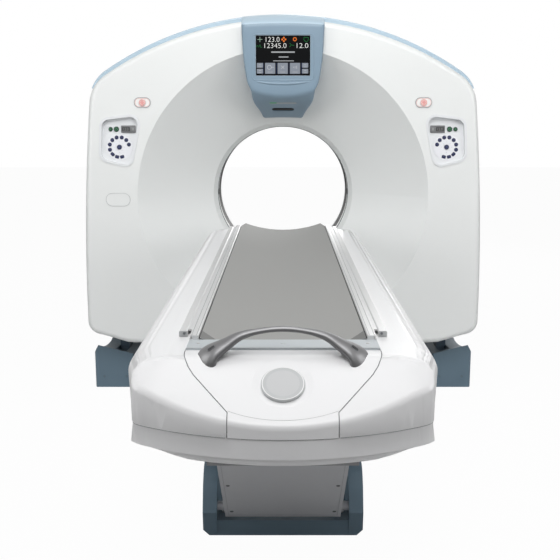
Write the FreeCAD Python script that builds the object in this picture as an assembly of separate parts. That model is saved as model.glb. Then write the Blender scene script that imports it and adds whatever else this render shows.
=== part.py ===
"""CT scanner: tilting ring gantry with its turning X-ray assembly, and a patient table on swing arms.

Millimetres. +X right, +Y along the bore from the table through the gantry, +Z up.
The origin is on the floor, straight below the point where the bore axis meets the scan plane.
"""
import math
import os

import FreeCAD
import Part

V = FreeCAD.Vector
X_AXIS = V(1, 0, 0)
Y_AXIS = V(0, 1, 0)
Z_AXIS = V(0, 0, 1)

# ---- running and seating clearances ----
SEAT_GAP = 0.3
SHAFT_GAP = 0.05
SLIDE_GAP = 0.5
SWEEP_GAP = 9.0

# ---- bore, scan plane and tilt ----
ISO_Z = 1035.0
BORE_R = 350.0
TILT_DEG = 30.0

# ---- gantry covers ----
COVER_WALL = 5.0
FACE_Y = -480.0
REAR_FACE_Y = 500.0
PARTING_Y = 0.0
PARTING_GAP = 3.0
COVER_TOP_Z = 1901.0
COVER_TOP_R = 1575.0
COVER_SIDE_TOP_X = 948.0
COVER_SIDE_MID_X = 992.0
COVER_SIDE_LOW_X = 1006.0
COVER_LOW_Z = 262.0
KNUCKLE_X = 800.0
KNUCKLE_Z = 284.0
COVER_CORNER_Z = 344.0
SHOULDER_R = 180.0
LOW_CORNER_R = 70.0
KNUCKLE_R = 300.0
FACE_EDGE_R = 28.0
BOTTOM_LIP = 42.0

# ---- funnels and throat ----
FUNNEL_LIP_R = 728.0
FUNNEL_TOE_R = 370.0
THROAT_FRONT_Y = -150.0
THROAT_BEND_Y = -184.0
THROAT_REAR_Y = 100.0
REAR_FUNNEL_R = 700.0
BULGE_R = 930.0
BULGE_Z = 1143.0
BULGE_LIP_Y = -500.0
BULGE_FADE_Z = 1150.0
LINER_WALL = 4.0
WINDOW_HALF = 62.0
SEAL_PROUD = 3.0
SEAL_WIDTH = 8.0

# ---- blue-grey top cover ----
TOP_COVER_RISE = 22.5
TOP_COVER_LOW_Z = 1572.0
TOP_HOLLOW_HALF = 560.0
TOP_COVER_FRONT_Y = -446.0
TOP_COVER_REAR_Y = 466.0
TOP_COVER_WALL = 4.0

# ---- display housing ----
HOUSING_TOP_Z = 1927.0
HOUSING_FRONT_Y = -526.0
HOUSING_BACK_Y = -420.0
HOUSING_TOP_HALF = 207.0
HOUSING_CROWN = 24.0
HOUSING_SHOULDER_Z = HOUSING_TOP_Z - 57.0
HOUSING_CREASE_Z = 1530.0
HOUSING_CREASE_HALF = 146.0
HOUSING_TIP_Z = 1424.0
HOUSING_TIP_HALF = 93.0
HOUSING_TIP_Y = -252.0
SCREEN_W = 264.0
SCREEN_H = 190.0
SCREEN_Z = 1724.0
SCREEN_DEEP = 8.0
LAMP_W = 138.0
LAMP_H = 12.0
LAMP_Z = 1500.0
GRILLE_W = 112.0
GRILLE_H = 16.0
GRILLE_Z = 1468.0

# ---- operator panels, stops and hatch on the front cover ----
PANEL_X = 813.0
PANEL_Z = 1298.0
PANEL_CORNERS = ((84.0, 124.0), (-112.0, 148.0), (-58.0, -110.0), (96.0, -72.0))
PANEL_HALF_H = 124.0
PANEL_CORNER_R = 42.0
PANEL_DEEP = 26.0
PANEL_WALL = 4.0
PAD_RING_R = 49.0
PAD_Z_DROP = 12.0
PAD_KEY_R = 9.5
PAD_KEYS = 10
CENTRE_KEY_R = 12.0
GREEN_KEY_R = 12.5
SMALL_KEY_R = 10.0
KEY_TRAVEL = 2.0
KEY_PROUD = 5.0
TOP_ROW_Z = 76.0
READOUT_W = 72.0
READOUT_H = 34.0
STOP_X = 691.0
STOP_Z = 1503.0
STOP_W = 82.0
STOP_H = 50.0
STOP_BUTTON_R = 17.0
STOP_TRAVEL = 4.0
HATCH_X = -826.0
HATCH_Z = 1026.0
HATCH_W = 120.0
HATCH_H = 63.0

# ---- fixed gantry base ----
POST_IN_X = 875.0
POST_T = 50.0
BEAM_HALF_X = POST_IN_X + POST_T + 10.0
BEAM_HALF_Y = 290.0
BEAM_H = 60.0
POST_HEAD_R = 120.0
POST_WAIST_HALF = 33.0
POST_WAIST_DROP = 862.0
SHAFT_R = 45.0
BUSH_WALL = 12.0
POD_IN_X = 800.0
POD_OUT_X = 1010.0
POD_HALF_Y = 330.0
POD_WALL = 5.0
POD_EDGE_DROP = 36.0
POD_TOP_Z = 262.0
SWEEP_LOW_R = 905.0
DRIVE_R = 105.0
DRIVE_T = 48.0

# ---- tilting frame and bearing ----
FRAME_Y = 205.0
FRAME_T = 35.0
FRAME_HOLE_R = 575.0
FRAME_HALF_X = POST_IN_X - 30.0
FRAME_HALF_Z = 560.0
ARM_T = 40.0
ARM_HALF_Z = 190.0
ARM_FRONT_Y = -130.0
BEARING_IN_R = 520.0
BEARING_SPLIT_R = 560.0
BEARING_OUT_R = 600.0
BEARING_GAP = 0.5

# ---- turning assembly ----
DISC_Y = 100.0
DISC_T = 30.0
DISC_IN_R = 402.0
DISC_OUT_R = 705.0
FOCUS_R = 541.0
DETECTOR_CLEAR = 54.0
DETECTOR_R = FOCUS_R + BORE_R + LINER_WALL + DETECTOR_CLEAR
DETECTOR_T = 70.0
DETECTOR_HALF_DEG = 27.0
DETECTOR_HALF_Y = 60.0
TUBE_R = 88.0
TUBE_HALF_Y = 150.0
SLIP_IN_R = 625.0
SLIP_OUT_R = 690.0
SLIP_T = 22.0
PULLEY_R = 50.0
MOTOR_R = 78.0
PULLEY_AT_DEG = 220.0
PULLEY_CLEAR = 24.0
BELT_T = 5.0
BELT_W = 22.0

# ---- table shell ----
SHELL_HALF = 378.0
SHELL_TOP_Z = 892.0
OVER_SHELL_Z = SHELL_TOP_Z + 308.0
SHELL_LOW_Z = 705.0
SHELL_HEAD_Y = -600.0
SHELL_HEAD_LOW_Z = 800.0
SHELL_TAPER_Y = -1020.0
SHELL_FOOT_Y = -3060.0
SHELL_FOOT_R = 560.0
SHELL_EDGE_R = 58.0
SHELL_WALL = 6.0
FOOT_SLOPE_Y = -2890.0
FOOT_TIP_Z = 782.0
FOOT_EDGE_R = 22.0
CREASE_Z = 745.0
CHANNEL_HALF = 233.0
CHANNEL_LOW_Z = 750.0
CHANNEL_HEAD_Z = 846.0

# ---- sliding cradle ----
PAN_HALF = 206.0
PAN_EDGE_Z = 901.0
PAN_SAG = 39.0
PAN_T = 9.0
PAN_HEAD_Y = -385.0
PAN_FOOT_Y = -2760.0
RAIL_IN_X = 208.0
RAIL_OUT_X = 231.0
RAIL_LOW_Z = 874.0
RAIL_TOP_Z = 908.0
RAIL_HEAD_Y = -560.0
STRIP_FOOT_Y = -2838.0
GUIDE_IN_X = 240.0
GUIDE_OUT_X = 262.0
GUIDE_TOP_Z = 908.0
GUIDE_FOOT_Y = -2714.0
TONGUE_X = 225.0
TONGUE_Z = 900.0
TONGUE_T = 5.0
CRADLE_TRAVEL = 1700.0
TAIL_GAP = 2.0
TAIL_WALL = 5.0
TAIL_LOW_Z = 752.0
APRON_HALF = 123.0
SEAM_BEND_Y = -2855.0
SEAM_TOE_Y = -3027.0
STRIP_TOP_Z = 898.0
HANDLE_HALF = 165.0
HANDLE_TOP_Z = 954.0
HANDLE_Y = -2884.0
HANDLE_TUBE_R = 9.0
HANDLE_FOOT_R = 25.0
ROUNDEL_R = 50.0
ROUNDEL_T = 7.0
ROUNDEL_Y = -2962.0

# ---- lift: swing arms, table base and carriage tub ----
ARM_LEAN_DEG = 46.0
ARM_LEN = 850.0
ARM_LOW_Z = 100.0
FRONT_ARM_Y = -1995.0
REAR_ARM_Y = -1400.0
ARM_HALF_W = 196.0
ARM_SIDE_T = 22.0
ARM_DEPTH = 76.0
PIN_R = 16.0
PIN_BOSS_R = 28.0
COVER_PANEL_T = 5.0
OPEN_PIVOT_GAP = 1.0
EAR_IN_X = 130.0
EAR_T = 30.0
TBASE_HALF = 278.0
TBASE_WALL = 49.0
TBASE_SIDE_Z = 232.0
TBASE_FLOOR_T = 56.0
TBASE_FRONT_Y = -2020.0
TBASE_REAR_Y = -1120.0
TUB_HALF_TOP = 238.0
TUB_HALF_LOW = 214.0
TUB_LOW_Z = 610.0
TUB_FRONT_Y = -2860.0
TUB_REAR_Y = -1500.0
TUB_WALL = 6.0
DUCT_HALF = 120.0
DUCT_H = 40.0


# ================= small helpers =================

def box(x0, x1, y0, y1, z0, z1):
    """Block between three pairs of limits."""
    return Part.makeBox(x1 - x0, y1 - y0, z1 - z0, V(x0, y0, z0))


def disc_y(radius, y0, y1, x=0.0, z=ISO_Z):
    """Round bar along Y."""
    return Part.makeCylinder(radius, y1 - y0, V(x, y0, z), Y_AXIS)


def ring_y(inner, outer, y0, y1, x=0.0, z=ISO_Z):
    """Flat ring or tube along Y."""
    return disc_y(outer, y0, y1, x, z).cut(disc_y(inner, y0 - 1, y1 + 1, x, z))


def bar_x(radius, x0, x1, y, z):
    """Round bar along X."""
    return Part.makeCylinder(radius, x1 - x0, V(x0, y, z), X_AXIS)


def mirrored(shape):
    """The same piece on the other side of the middle plane."""
    return shape.mirror(V(0, 0, 0), X_AXIS)


def arc(a, m, b):
    """Arc edge through three points."""
    return Part.Arc(a, m, b).toShape()


def line(a, b):
    """Straight edge."""
    return Part.makeLine(a, b)


def face_of(edges):
    """Flat face inside a closed run of edges."""
    return Part.Face(Part.Wire(Part.__sortEdges__(edges)))


def polygon_yz(points, x0, x1):
    """Side profile carried along X."""
    face = Part.Face(Part.makePolygon([V(x0, y, z) for y, z in points + points[:1]]))
    return face.extrude(V(x1 - x0, 0, 0))


def polygon_xz(points, y0, y1):
    """Front profile carried along Y."""
    face = Part.Face(Part.makePolygon([V(x, y0, z) for x, z in points + points[:1]]))
    return face.extrude(V(0, y1 - y0, 0))


def polygon_xy(points, z0, z1):
    """Plan profile carried along Z."""
    face = Part.Face(Part.makePolygon([V(x, y, z0) for x, y in points + points[:1]]))
    return face.extrude(V(0, 0, z1 - z0))


def rounded(shape, radius, chosen):
    """Round the edges for which the test on an edge's middle point and direction holds."""
    edges = []
    for edge in shape.Edges:
        middle = edge.valueAt((edge.FirstParameter + edge.LastParameter) / 2)
        if chosen(edge, middle):
            edges.append(edge)
    return shape.makeFillet(radius, edges)


def along(edge, axis):
    """True for a straight edge that runs along an axis."""
    if edge.Curve.TypeId != "Part::GeomLine":
        return False
    return abs(edge.tangentAt(edge.FirstParameter).dot(axis)) > 0.999


def pill(width, height, y0, y1, x, z):
    """Round-ended plate that faces along Y."""
    half = width / 2 - height / 2
    body = box(x - half, x + half, y0, y1, z - height / 2, z + height / 2)
    return body.fuse([disc_y(height / 2, y0, y1, x - half, z), disc_y(height / 2, y0, y1, x + half, z)]) \
        .removeSplitter()


def save(name, shape):
    """Write one piece."""
    solids = shape.Solids
    piece = solids[0] if len(solids) == 1 else Part.makeCompound(solids)
    if not solids or not piece.isValid():
        print("CHECK", name, len(solids), piece.isValid())
    piece.exportStep("parts/" + name + ".step")


# ================= gantry covers =================

def cover_top_z(x, inset):
    """Height of the covers' top arc at a distance from the middle."""
    radius = COVER_TOP_R - inset
    return COVER_TOP_Z - COVER_TOP_R + math.sqrt(radius ** 2 - x ** 2)


def cover_block(y0, y1, inset):
    """The covers' outline carried along Y, its four corners and two knuckles rounded."""
    top_x = COVER_SIDE_TOP_X - inset
    low_x = COVER_SIDE_LOW_X - inset
    top_z = cover_top_z(top_x, inset)
    knuckle_z = KNUCKLE_Z + inset
    corner_z = COVER_CORNER_Z + inset
    right = [
        arc(V(top_x, y0, top_z), V(COVER_SIDE_MID_X - inset, y0, ISO_Z), V(low_x, y0, corner_z)),
        line(V(low_x, y0, corner_z), V(KNUCKLE_X, y0, knuckle_z)),
    ]
    left = [mirrored(edge) for edge in right]
    top = arc(V(-top_x, y0, top_z), V(0, y0, COVER_TOP_Z - inset), V(top_x, y0, top_z))
    low = arc(V(-KNUCKLE_X, y0, knuckle_z), V(0, y0, COVER_LOW_Z + inset), V(KNUCKLE_X, y0, knuckle_z))
    block = face_of(right + left + [top, low]).extrude(V(0, y1 - y0, 0))
    block = rounded(block, SHOULDER_R - inset, lambda e, m: along(e, Y_AXIS) and m.z > ISO_Z)
    block = rounded(block, LOW_CORNER_R - inset,
                    lambda e, m: along(e, Y_AXIS) and m.z < ISO_Z and abs(m.x) > low_x - 20)
    return block


def front_block(inset):
    """Front cover's outer form, its face edge rolled."""
    y0 = FACE_Y + inset
    block = cover_block(y0, PARTING_Y - PARTING_GAP / 2, inset)
    return rounded(block, FACE_EDGE_R - inset, lambda e, m: abs(m.y - y0) < 0.01)


def rear_block(inset):
    """Rear cover's outer form, its face edge rolled."""
    y1 = REAR_FACE_Y - inset
    block = cover_block(PARTING_Y + PARTING_GAP / 2, y1, inset)
    return rounded(block, FACE_EDGE_R - inset, lambda e, m: abs(m.y - y1) < 0.01)


def bulge():
    """Shallow cone that swells the face around the funnel, deepest at the bottom."""
    base = Part.Wire(Part.Circle(V(0, FACE_Y + 1, BULGE_Z), Y_AXIS, BULGE_R).toShape())
    lean = (FACE_Y - BULGE_LIP_Y) / (BULGE_FADE_Z - ISO_Z + FUNNEL_LIP_R)
    tilted = V(0, 1, -lean)
    tilted.normalize()
    middle_y = FACE_Y + lean * (ISO_Z - BULGE_FADE_Z)
    crest = Part.Wire(Part.Circle(V(0, middle_y, ISO_Z), tilted, FUNNEL_LIP_R + 8).toShape())
    cone = Part.makeLoft([base, crest], True, True)
    edge = FACE_EDGE_R * 0.6
    low = cone.common(cover_block(FACE_Y - 60, FACE_Y + 60, edge))
    return low.common(box(-1100, 1100, FACE_Y - 100, FACE_Y + 100, 0, BULGE_FADE_Z))


def funnel(grow):
    """Space of the front funnel and the throat, grown outward by a wall."""
    run = FUNNEL_LIP_R - FUNNEL_TOE_R
    drop = THROAT_BEND_Y - FACE_Y
    length = math.hypot(run, drop)
    out_r = grow * drop / length
    out_y = grow * run / length
    toe = (FUNNEL_TOE_R + out_r, THROAT_BEND_Y + out_y)
    rise = 5.0
    lip = (FUNNEL_LIP_R + out_r + rise * run / drop, FACE_Y + out_y - rise)
    mouth = (lip[0] + 6, FACE_Y - 120)
    throat = (BORE_R + grow, THROAT_FRONT_Y)
    rear = (BORE_R + grow, 600.0)
    points = [(0.0, mouth[1]), mouth, lip, toe, throat, rear, (0.0, 600.0)]
    face = Part.Face(Part.makePolygon([V(r, y, ISO_Z) for r, y in points + points[:1]]))
    return face.revolve(V(0, 0, ISO_Z), Y_AXIS, 360)


def rear_funnel(grow):
    """Space of the rear funnel and the throat, grown outward by a wall."""
    slope = (REAR_FUNNEL_R - BORE_R) / (REAR_FACE_Y - THROAT_REAR_Y)
    reach = REAR_FACE_Y + 60.0
    shift = grow * math.hypot(1.0, slope)
    points = [(0.0, -600.0), (BORE_R + grow, -600.0), (BORE_R + grow, THROAT_REAR_Y),
              (BORE_R + shift, THROAT_REAR_Y),
              (BORE_R + shift + slope * (reach - THROAT_REAR_Y), reach), (0.0, reach)]
    if grow == 0:
        points.pop(3)
    face = Part.Face(Part.makePolygon([V(r, y, ISO_Z) for r, y in points + points[:1]]))
    return face.revolve(V(0, 0, ISO_Z), Y_AXIS, 360)


def post_slots():
    """Clear way for the posts through the covers' rolled bottom edges."""
    side = box(POST_IN_X - 12, POST_IN_X + POST_T + 12, FACE_Y + COVER_WALL + 8,
               REAR_FACE_Y - COVER_WALL - 2, 200, 500)
    return [side, mirrored(side)]


def panel_outline(y0, y1, grow):
    """Rounded four-sided outline of an operator panel, widest at the top."""
    points = [V(PANEL_X + x, y0, PANEL_Z + z) for x, z in PANEL_CORNERS]
    face = Part.Face(Part.makePolygon(points + points[:1]))
    wire = face.makeOffset2D(grow, 2).OuterWire
    block = Part.Face(wire).extrude(V(0, y1 - y0, 0))
    return rounded(block, PANEL_CORNER_R + grow, lambda e, m: along(e, Y_AXIS))


def front_cover():
    """Moulded front cover with its funnel, face openings and open bottom."""
    skin = front_block(0.0).fuse(bulge()).cut(funnel(0.0))
    skin = skin.cut(front_block(COVER_WALL).cut(funnel(COVER_WALL)))
    below = box(-COVER_SIDE_LOW_X + 60, COVER_SIDE_LOW_X - 60, FACE_Y + BOTTOM_LIP, 100, 200, 420)
    openings = [disc_y(BORE_R + 60, THROAT_FRONT_Y, 100), below.cut(funnel(COVER_WALL))]
    for side in (1, -1):
        hole = panel_outline(FACE_Y - 40, FACE_Y + 60, -0.5)
        stop = pill(STOP_W + 1, STOP_H + 1, FACE_Y - 40, FACE_Y + 60, STOP_X, STOP_Z)
        openings += [hole, stop] if side > 0 else [mirrored(hole), mirrored(stop)]
    openings.append(pill(HATCH_W + 2, HATCH_H + 2, FACE_Y - 40, FACE_Y + 60, HATCH_X, HATCH_Z))
    return skin.cut(openings + post_slots())


def rear_cover():
    """Moulded rear cover with its funnel and open bottom."""
    skin = rear_block(0.0).cut(rear_funnel(0.0))
    skin = skin.cut(rear_block(COVER_WALL).cut(rear_funnel(COVER_WALL)))
    below = box(-COVER_SIDE_LOW_X + 60, COVER_SIDE_LOW_X - 60, -100, REAR_FACE_Y - BOTTOM_LIP, 200, 420)
    openings = [disc_y(BORE_R + 40, -100, THROAT_REAR_Y), below.cut(rear_funnel(COVER_WALL))]
    return skin.cut(openings + post_slots())


def raised_arch(y0, y1, rise):
    """The covers' outline lifted by a rise, so that it thins towards the shoulders."""
    arch = cover_block(y0, y1, 0.0)
    arch.translate(V(0, 0, rise))
    return arch


def top_cover():
    """Blue-grey arched cover over the joint of the two white covers."""
    arch = raised_arch(TOP_COVER_FRONT_Y, TOP_COVER_REAR_Y, TOP_COVER_RISE)
    wide = COVER_SIDE_LOW_X + 50
    over_z = COVER_TOP_Z + 100
    arch = arch.common(box(-wide, wide, FACE_Y - 200, REAR_FACE_Y + 200, TOP_COVER_LOW_Z, over_z))
    arch = rounded(arch, 7.0, lambda e, m: m.z > COVER_TOP_Z
                   and min(abs(m.y - TOP_COVER_FRONT_Y), abs(m.y - TOP_COVER_REAR_Y)) < 0.01)
    hollow = raised_arch(TOP_COVER_FRONT_Y + 12, TOP_COVER_REAR_Y - 12, TOP_COVER_RISE - TOP_COVER_WALL)
    hollow = hollow.common(box(-TOP_HOLLOW_HALF, TOP_HOLLOW_HALF, FACE_Y - 200, REAR_FACE_Y + 200,
                               TOP_COVER_LOW_Z + 28, over_z))
    return arch.cut([cover_block(FACE_Y, REAR_FACE_Y, -SEAT_GAP), hollow])


def throat_pieces():
    """Seal ring, two liner tubes and the dark window ring between them."""
    save("seal_ring", ring_y(BORE_R - SEAL_PROUD, BORE_R + 12, THROAT_FRONT_Y, THROAT_FRONT_Y + SEAL_WIDTH))
    save("throat_liner_front", ring_y(BORE_R, BORE_R + LINER_WALL, THROAT_FRONT_Y + SEAL_WIDTH, -WINDOW_HALF))
    save("scan_window", ring_y(BORE_R + 1, BORE_R + 3, -WINDOW_HALF, WINDOW_HALF))
    save("throat_liner_rear", ring_y(BORE_R, BORE_R + LINER_WALL, WINDOW_HALF, THROAT_REAR_Y))


def housing_outline(y0, y1, grow):
    """Front outline of the display housing: wide head, bowed sides, narrow hollowed tip."""
    head_z = HOUSING_TOP_Z + grow
    head = HOUSING_TOP_HALF + grow
    crease = HOUSING_CREASE_HALF + grow
    tip = HOUSING_TIP_HALF + grow
    side_mid = V((head + crease) / 2 + 12, y0, (HOUSING_SHOULDER_Z + HOUSING_CREASE_Z) / 2)
    low_mid = V((crease + tip) / 2 + 7, y0, (HOUSING_CREASE_Z + HOUSING_TIP_Z) / 2 - grow)
    corners = [V(head, y0, head_z - HOUSING_CROWN), V(head, y0, HOUSING_SHOULDER_Z), V(crease, y0, HOUSING_CREASE_Z),
               V(tip, y0, HOUSING_TIP_Z - grow)]
    right = [line(corners[0], corners[1]), arc(corners[1], side_mid, corners[2]),
             arc(corners[2], low_mid, corners[3])]
    left = [mirrored(edge) for edge in right]
    crown = arc(V(-head, y0, head_z - HOUSING_CROWN), V(0, y0, head_z), corners[0])
    hollow = arc(corners[3], V(0, y0, HOUSING_TIP_Z + 8 - grow), V(-tip, y0, HOUSING_TIP_Z - grow))
    return face_of(right + left + [crown, hollow]).extrude(V(0, y1 - y0, 0))


def display_housing():
    """Head that carries the screen and runs down the funnel to the throat."""
    profile = polygon_yz([(HOUSING_BACK_Y, HOUSING_TOP_Z + 2), (HOUSING_FRONT_Y + 60, HOUSING_TOP_Z + 2),
                          (HOUSING_FRONT_Y, HOUSING_TOP_Z - 34), (HOUSING_FRONT_Y, HOUSING_CREASE_Z + 4),
                          (HOUSING_FRONT_Y + 6, HOUSING_CREASE_Z - 6),
                          (HOUSING_TIP_Y, HOUSING_TIP_Z), (HOUSING_TIP_Y + 40, HOUSING_TIP_Z - 30),
                          (HOUSING_TIP_Y + 80, HOUSING_TIP_Z + 200), (HOUSING_BACK_Y, HOUSING_TIP_Z + 380)],
                         -300, 300)
    head = housing_outline(-700, 0, 0.0).common(profile)
    envelope = front_block(-SEAT_GAP).cut(funnel(-SEAT_GAP))
    arch = raised_arch(TOP_COVER_FRONT_Y - SEAT_GAP, 500, TOP_COVER_RISE + SEAT_GAP)
    head = head.cut([envelope, arch.cut(cover_block(FACE_Y - 10, 510, 1.0))])
    head = max(head.Solids, key=lambda s: s.Volume)
    screen = box(-SCREEN_W / 2, SCREEN_W / 2, HOUSING_FRONT_Y - 5, HOUSING_FRONT_Y + SCREEN_DEEP,
                 SCREEN_Z - SCREEN_H / 2, SCREEN_Z + SCREEN_H / 2)
    return head.cut([screen, lamp_strip(3.0), grille_slot(6.0)])


def lower_face_y(z):
    """Front of the housing's receding lower face at a height."""
    share = (HOUSING_CREASE_Z - 6 - z) / (HOUSING_CREASE_Z - 6 - HOUSING_TIP_Z)
    return HOUSING_FRONT_Y + 6 + share * (HOUSING_TIP_Y - HOUSING_FRONT_Y - 6)


def sunk_pill(width, height, z, deep, proud):
    """Round-ended block let into the receding lower face."""
    slope = (HOUSING_TIP_Y - HOUSING_FRONT_Y - 6) / (HOUSING_CREASE_Z - 6 - HOUSING_TIP_Z)
    lean = math.degrees(math.atan(1 / slope))
    block = pill(width, height * slope / math.hypot(1, slope), -proud, deep, 0, 0)
    block.rotate(V(0, 0, 0), X_AXIS, 90 - lean)
    block.translate(V(0, lower_face_y(z), z))
    return block


def lamp_strip(proud):
    """Slim light strip under the crease."""
    return sunk_pill(LAMP_W, LAMP_H * 2, LAMP_Z, 6.0, proud)


def grille_slot(proud):
    """Dark slot that covers the intercom."""
    return sunk_pill(GRILLE_W, GRILLE_H * 2, GRILLE_Z, 10.0, proud)


def display_pieces():
    """Housing, its screen, light strip and intercom slot."""
    save("display_housing", display_housing())
    save("display_screen", box(-SCREEN_W / 2 + 0.5, SCREEN_W / 2 - 0.5, HOUSING_FRONT_Y + 1.5,
                               HOUSING_FRONT_Y + SCREEN_DEEP, SCREEN_Z - SCREEN_H / 2 + 0.5,
                               SCREEN_Z + SCREEN_H / 2 - 0.5))
    save("light_strip", sunk_pill(LAMP_W - 1, LAMP_H * 2 - 1, LAMP_Z, 6.0, 0.5))
    save("intercom_slot", sunk_pill(GRILLE_W - 1, GRILLE_H * 2 - 1, GRILLE_Z, 10.0, -3.0))


# ================= operator panels, stops and hatch =================

def control_panel():
    """Dished tray with its readout window and key holes, let into the face."""
    floor_y = FACE_Y + PANEL_DEEP
    outer = panel_outline(FACE_Y - 4, floor_y, -1.0)
    flange = panel_outline(FACE_Y - 4, FACE_Y - SEAT_GAP, 7.0)
    hollow = panel_outline(FACE_Y - 30, floor_y - PANEL_WALL, -1.0 - PANEL_WALL)
    lean = polygon_yz([(FACE_Y - 30, PANEL_Z + PANEL_HALF_H + 60), (FACE_Y - 30, PANEL_Z - PANEL_HALF_H - 60),
                       (FACE_Y + 3, PANEL_Z - PANEL_HALF_H - 60),
                       (floor_y - PANEL_WALL, PANEL_Z + PANEL_HALF_H)], PANEL_X - 200, PANEL_X + 200)
    tray = outer.fuse(flange).cut(hollow.common(lean))
    return tray.cut(key_bars(SEAT_GAP))


def pad_floor(z):
    """Where the tray's leaning floor lies at a height."""
    low = (FACE_Y + 3, PANEL_Z - PANEL_HALF_H - 60)
    high = (FACE_Y + PANEL_DEEP - PANEL_WALL, PANEL_Z + PANEL_HALF_H)
    return low[0] + (z - low[1]) * (high[0] - low[0]) / (high[1] - low[1])


def key_places():
    """Moving keys of one panel: radius, place across and height."""
    top = PANEL_Z + TOP_ROW_Z
    return {"start_key": (GREEN_KEY_R, PANEL_X + 13, top), "option_key": (SMALL_KEY_R, PANEL_X + 42, top),
            "centre_key": (CENTRE_KEY_R, PANEL_X, PANEL_Z - PAD_Z_DROP)}


def key_bars(grow):
    """Holes that the moving keys pass through."""
    return [disc_y(r + grow, FACE_Y - 30, FACE_Y + 60, x, z) for r, x, z in key_places().values()]


def moving_key(radius, x, z):
    """Round key with a stem through the tray's floor."""
    y = pad_floor(z)
    cap = disc_y(radius, y - KEY_PROUD, y + 12, x, z)
    cap = cap.makeChamfer(0.8, [e for e in cap.Edges if abs(e.CenterOfMass.y - (y - KEY_PROUD)) < 0.01])
    return cap


def keypad():
    """Membrane of ten keys in a ring around the centre key."""
    z0 = PANEL_Z - PAD_Z_DROP
    keys = []
    for i in range(PAD_KEYS):
        turn = math.radians(165 - 30 * i)
        x = PANEL_X + PAD_RING_R * math.cos(turn)
        z = z0 + PAD_RING_R * math.sin(turn)
        y = pad_floor(z)
        keys.append(disc_y(PAD_KEY_R, y - 2.6, y - 0.6, x, z))
    backing = disc_y(PAD_RING_R + 16, FACE_Y - 10, FACE_Y + 30, PANEL_X, z0)
    sheet = polygon_yz([(pad_floor(z0 - 90) - 1.4, z0 - 90), (pad_floor(z0 - 90) - SEAT_GAP, z0 - 90),
                        (pad_floor(z0 + 90) - SEAT_GAP, z0 + 90), (pad_floor(z0 + 90) - 1.4, z0 + 90)],
                       PANEL_X - 90, PANEL_X + 90)
    return backing.common(sheet).fuse(keys).cut(disc_y(CENTRE_KEY_R + SEAT_GAP, FACE_Y - 30, FACE_Y + 60, PANEL_X, z0))


def readout():
    """Small window over the panel's number display."""
    z0 = PANEL_Z + TOP_ROW_Z
    y = pad_floor(z0)
    return box(PANEL_X - 83, PANEL_X - 83 + READOUT_W, y - 4, y - 1.6, z0 - READOUT_H / 2, z0 + READOUT_H / 2)


def stop_bezel():
    """Oval surround of an emergency stop."""
    plate = pill(STOP_W - 0.5, STOP_H - 0.5, FACE_Y - 2, FACE_Y + COVER_WALL, STOP_X, STOP_Z)
    return plate.cut(disc_y(STOP_BUTTON_R + 0.5, FACE_Y - 20, FACE_Y + 20, STOP_X, STOP_Z))


def stop_button():
    """Low red button of an emergency stop."""
    cap = disc_y(STOP_BUTTON_R, FACE_Y - 8, FACE_Y + 2, STOP_X, STOP_Z)
    return cap.makeChamfer(2.0, [e for e in cap.Edges if abs(e.CenterOfMass.y - (FACE_Y - 8)) < 0.01])


def face_pieces():
    """Both panels with their keys, both stops and the hatch."""
    for side, turned in (("right", lambda s: s), ("left", mirrored)):
        save("control_panel_" + side, turned(control_panel()))
        save("stop_button_" + side, turned(stop_button()))
        for name, place in key_places().items():
            save(name + "_" + side, turned(moving_key(*place)))
    save("keypads", Part.makeCompound([keypad(), mirrored(keypad())]))
    save("readouts", Part.makeCompound([readout(), mirrored(readout())]))
    save("stop_bezels", Part.makeCompound([stop_bezel(), mirrored(stop_bezel())]))
    save("access_hatch", pill(HATCH_W, HATCH_H, FACE_Y - 1.5, FACE_Y + COVER_WALL, HATCH_X, HATCH_Z))


# ================= fixed base of the gantry =================

def sweep_r(x):
    """Reach of the tilting covers' low corner at a distance from the middle, with clearance."""
    slope = (COVER_CORNER_Z - KNUCKLE_Z) / (COVER_SIDE_LOW_X - KNUCKLE_X)
    low_z = KNUCKLE_Z + slope * max(0.0, abs(x) - KNUCKLE_X)
    return math.hypot(REAR_FACE_Y, ISO_Z - low_z) + SWEEP_GAP


def swept_room():
    """Room that the tilting covers sweep over the base pods."""
    inner = POD_IN_X - 30
    steps = [(inner, sweep_r(inner)), (KNUCKLE_X, sweep_r(KNUCKLE_X)),
             (COVER_SIDE_LOW_X - 18, sweep_r(COVER_SIDE_LOW_X - 18)),
             (POD_OUT_X, sweep_r(COVER_SIDE_LOW_X - 18) + POD_EDGE_DROP),
             (POD_OUT_X + 20, sweep_r(COVER_SIDE_LOW_X - 18) + POD_EDGE_DROP)]
    points = [(inner, 0.0)] + steps + [(POD_OUT_X + 20, 0.0)]
    face = Part.Face(Part.makePolygon([V(x, 0, ISO_Z - r) for x, r in points + points[:1]]))
    return face.revolve(V(0, 0, ISO_Z), X_AXIS, 360)


def base_pod():
    """Hollow side cover of the gantry base, its top scooped for the tilting covers."""
    outer = box(POD_IN_X, POD_OUT_X, -POD_HALF_Y, POD_HALF_Y, 0, POD_TOP_Z + 40)
    outer = rounded(outer, 14, lambda e, m: along(e, Z_AXIS))
    outer = outer.cut(swept_room())
    inner = box(POD_IN_X + POD_WALL, POD_OUT_X - POD_WALL, -POD_HALF_Y + POD_WALL, POD_HALF_Y - POD_WALL,
                -1, BEAM_H + 24)
    way = box(POD_IN_X - 5, POD_OUT_X - POD_WALL - 1, -BEAM_HALF_Y - SEAT_GAP, BEAM_HALF_Y + SEAT_GAP, -1,
              BEAM_H + SEAT_GAP)
    post = box(POST_IN_X - 3, POST_IN_X + POST_T + 3, -160, 160, 0, 400)
    return outer.cut([inner, way, post])


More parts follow.
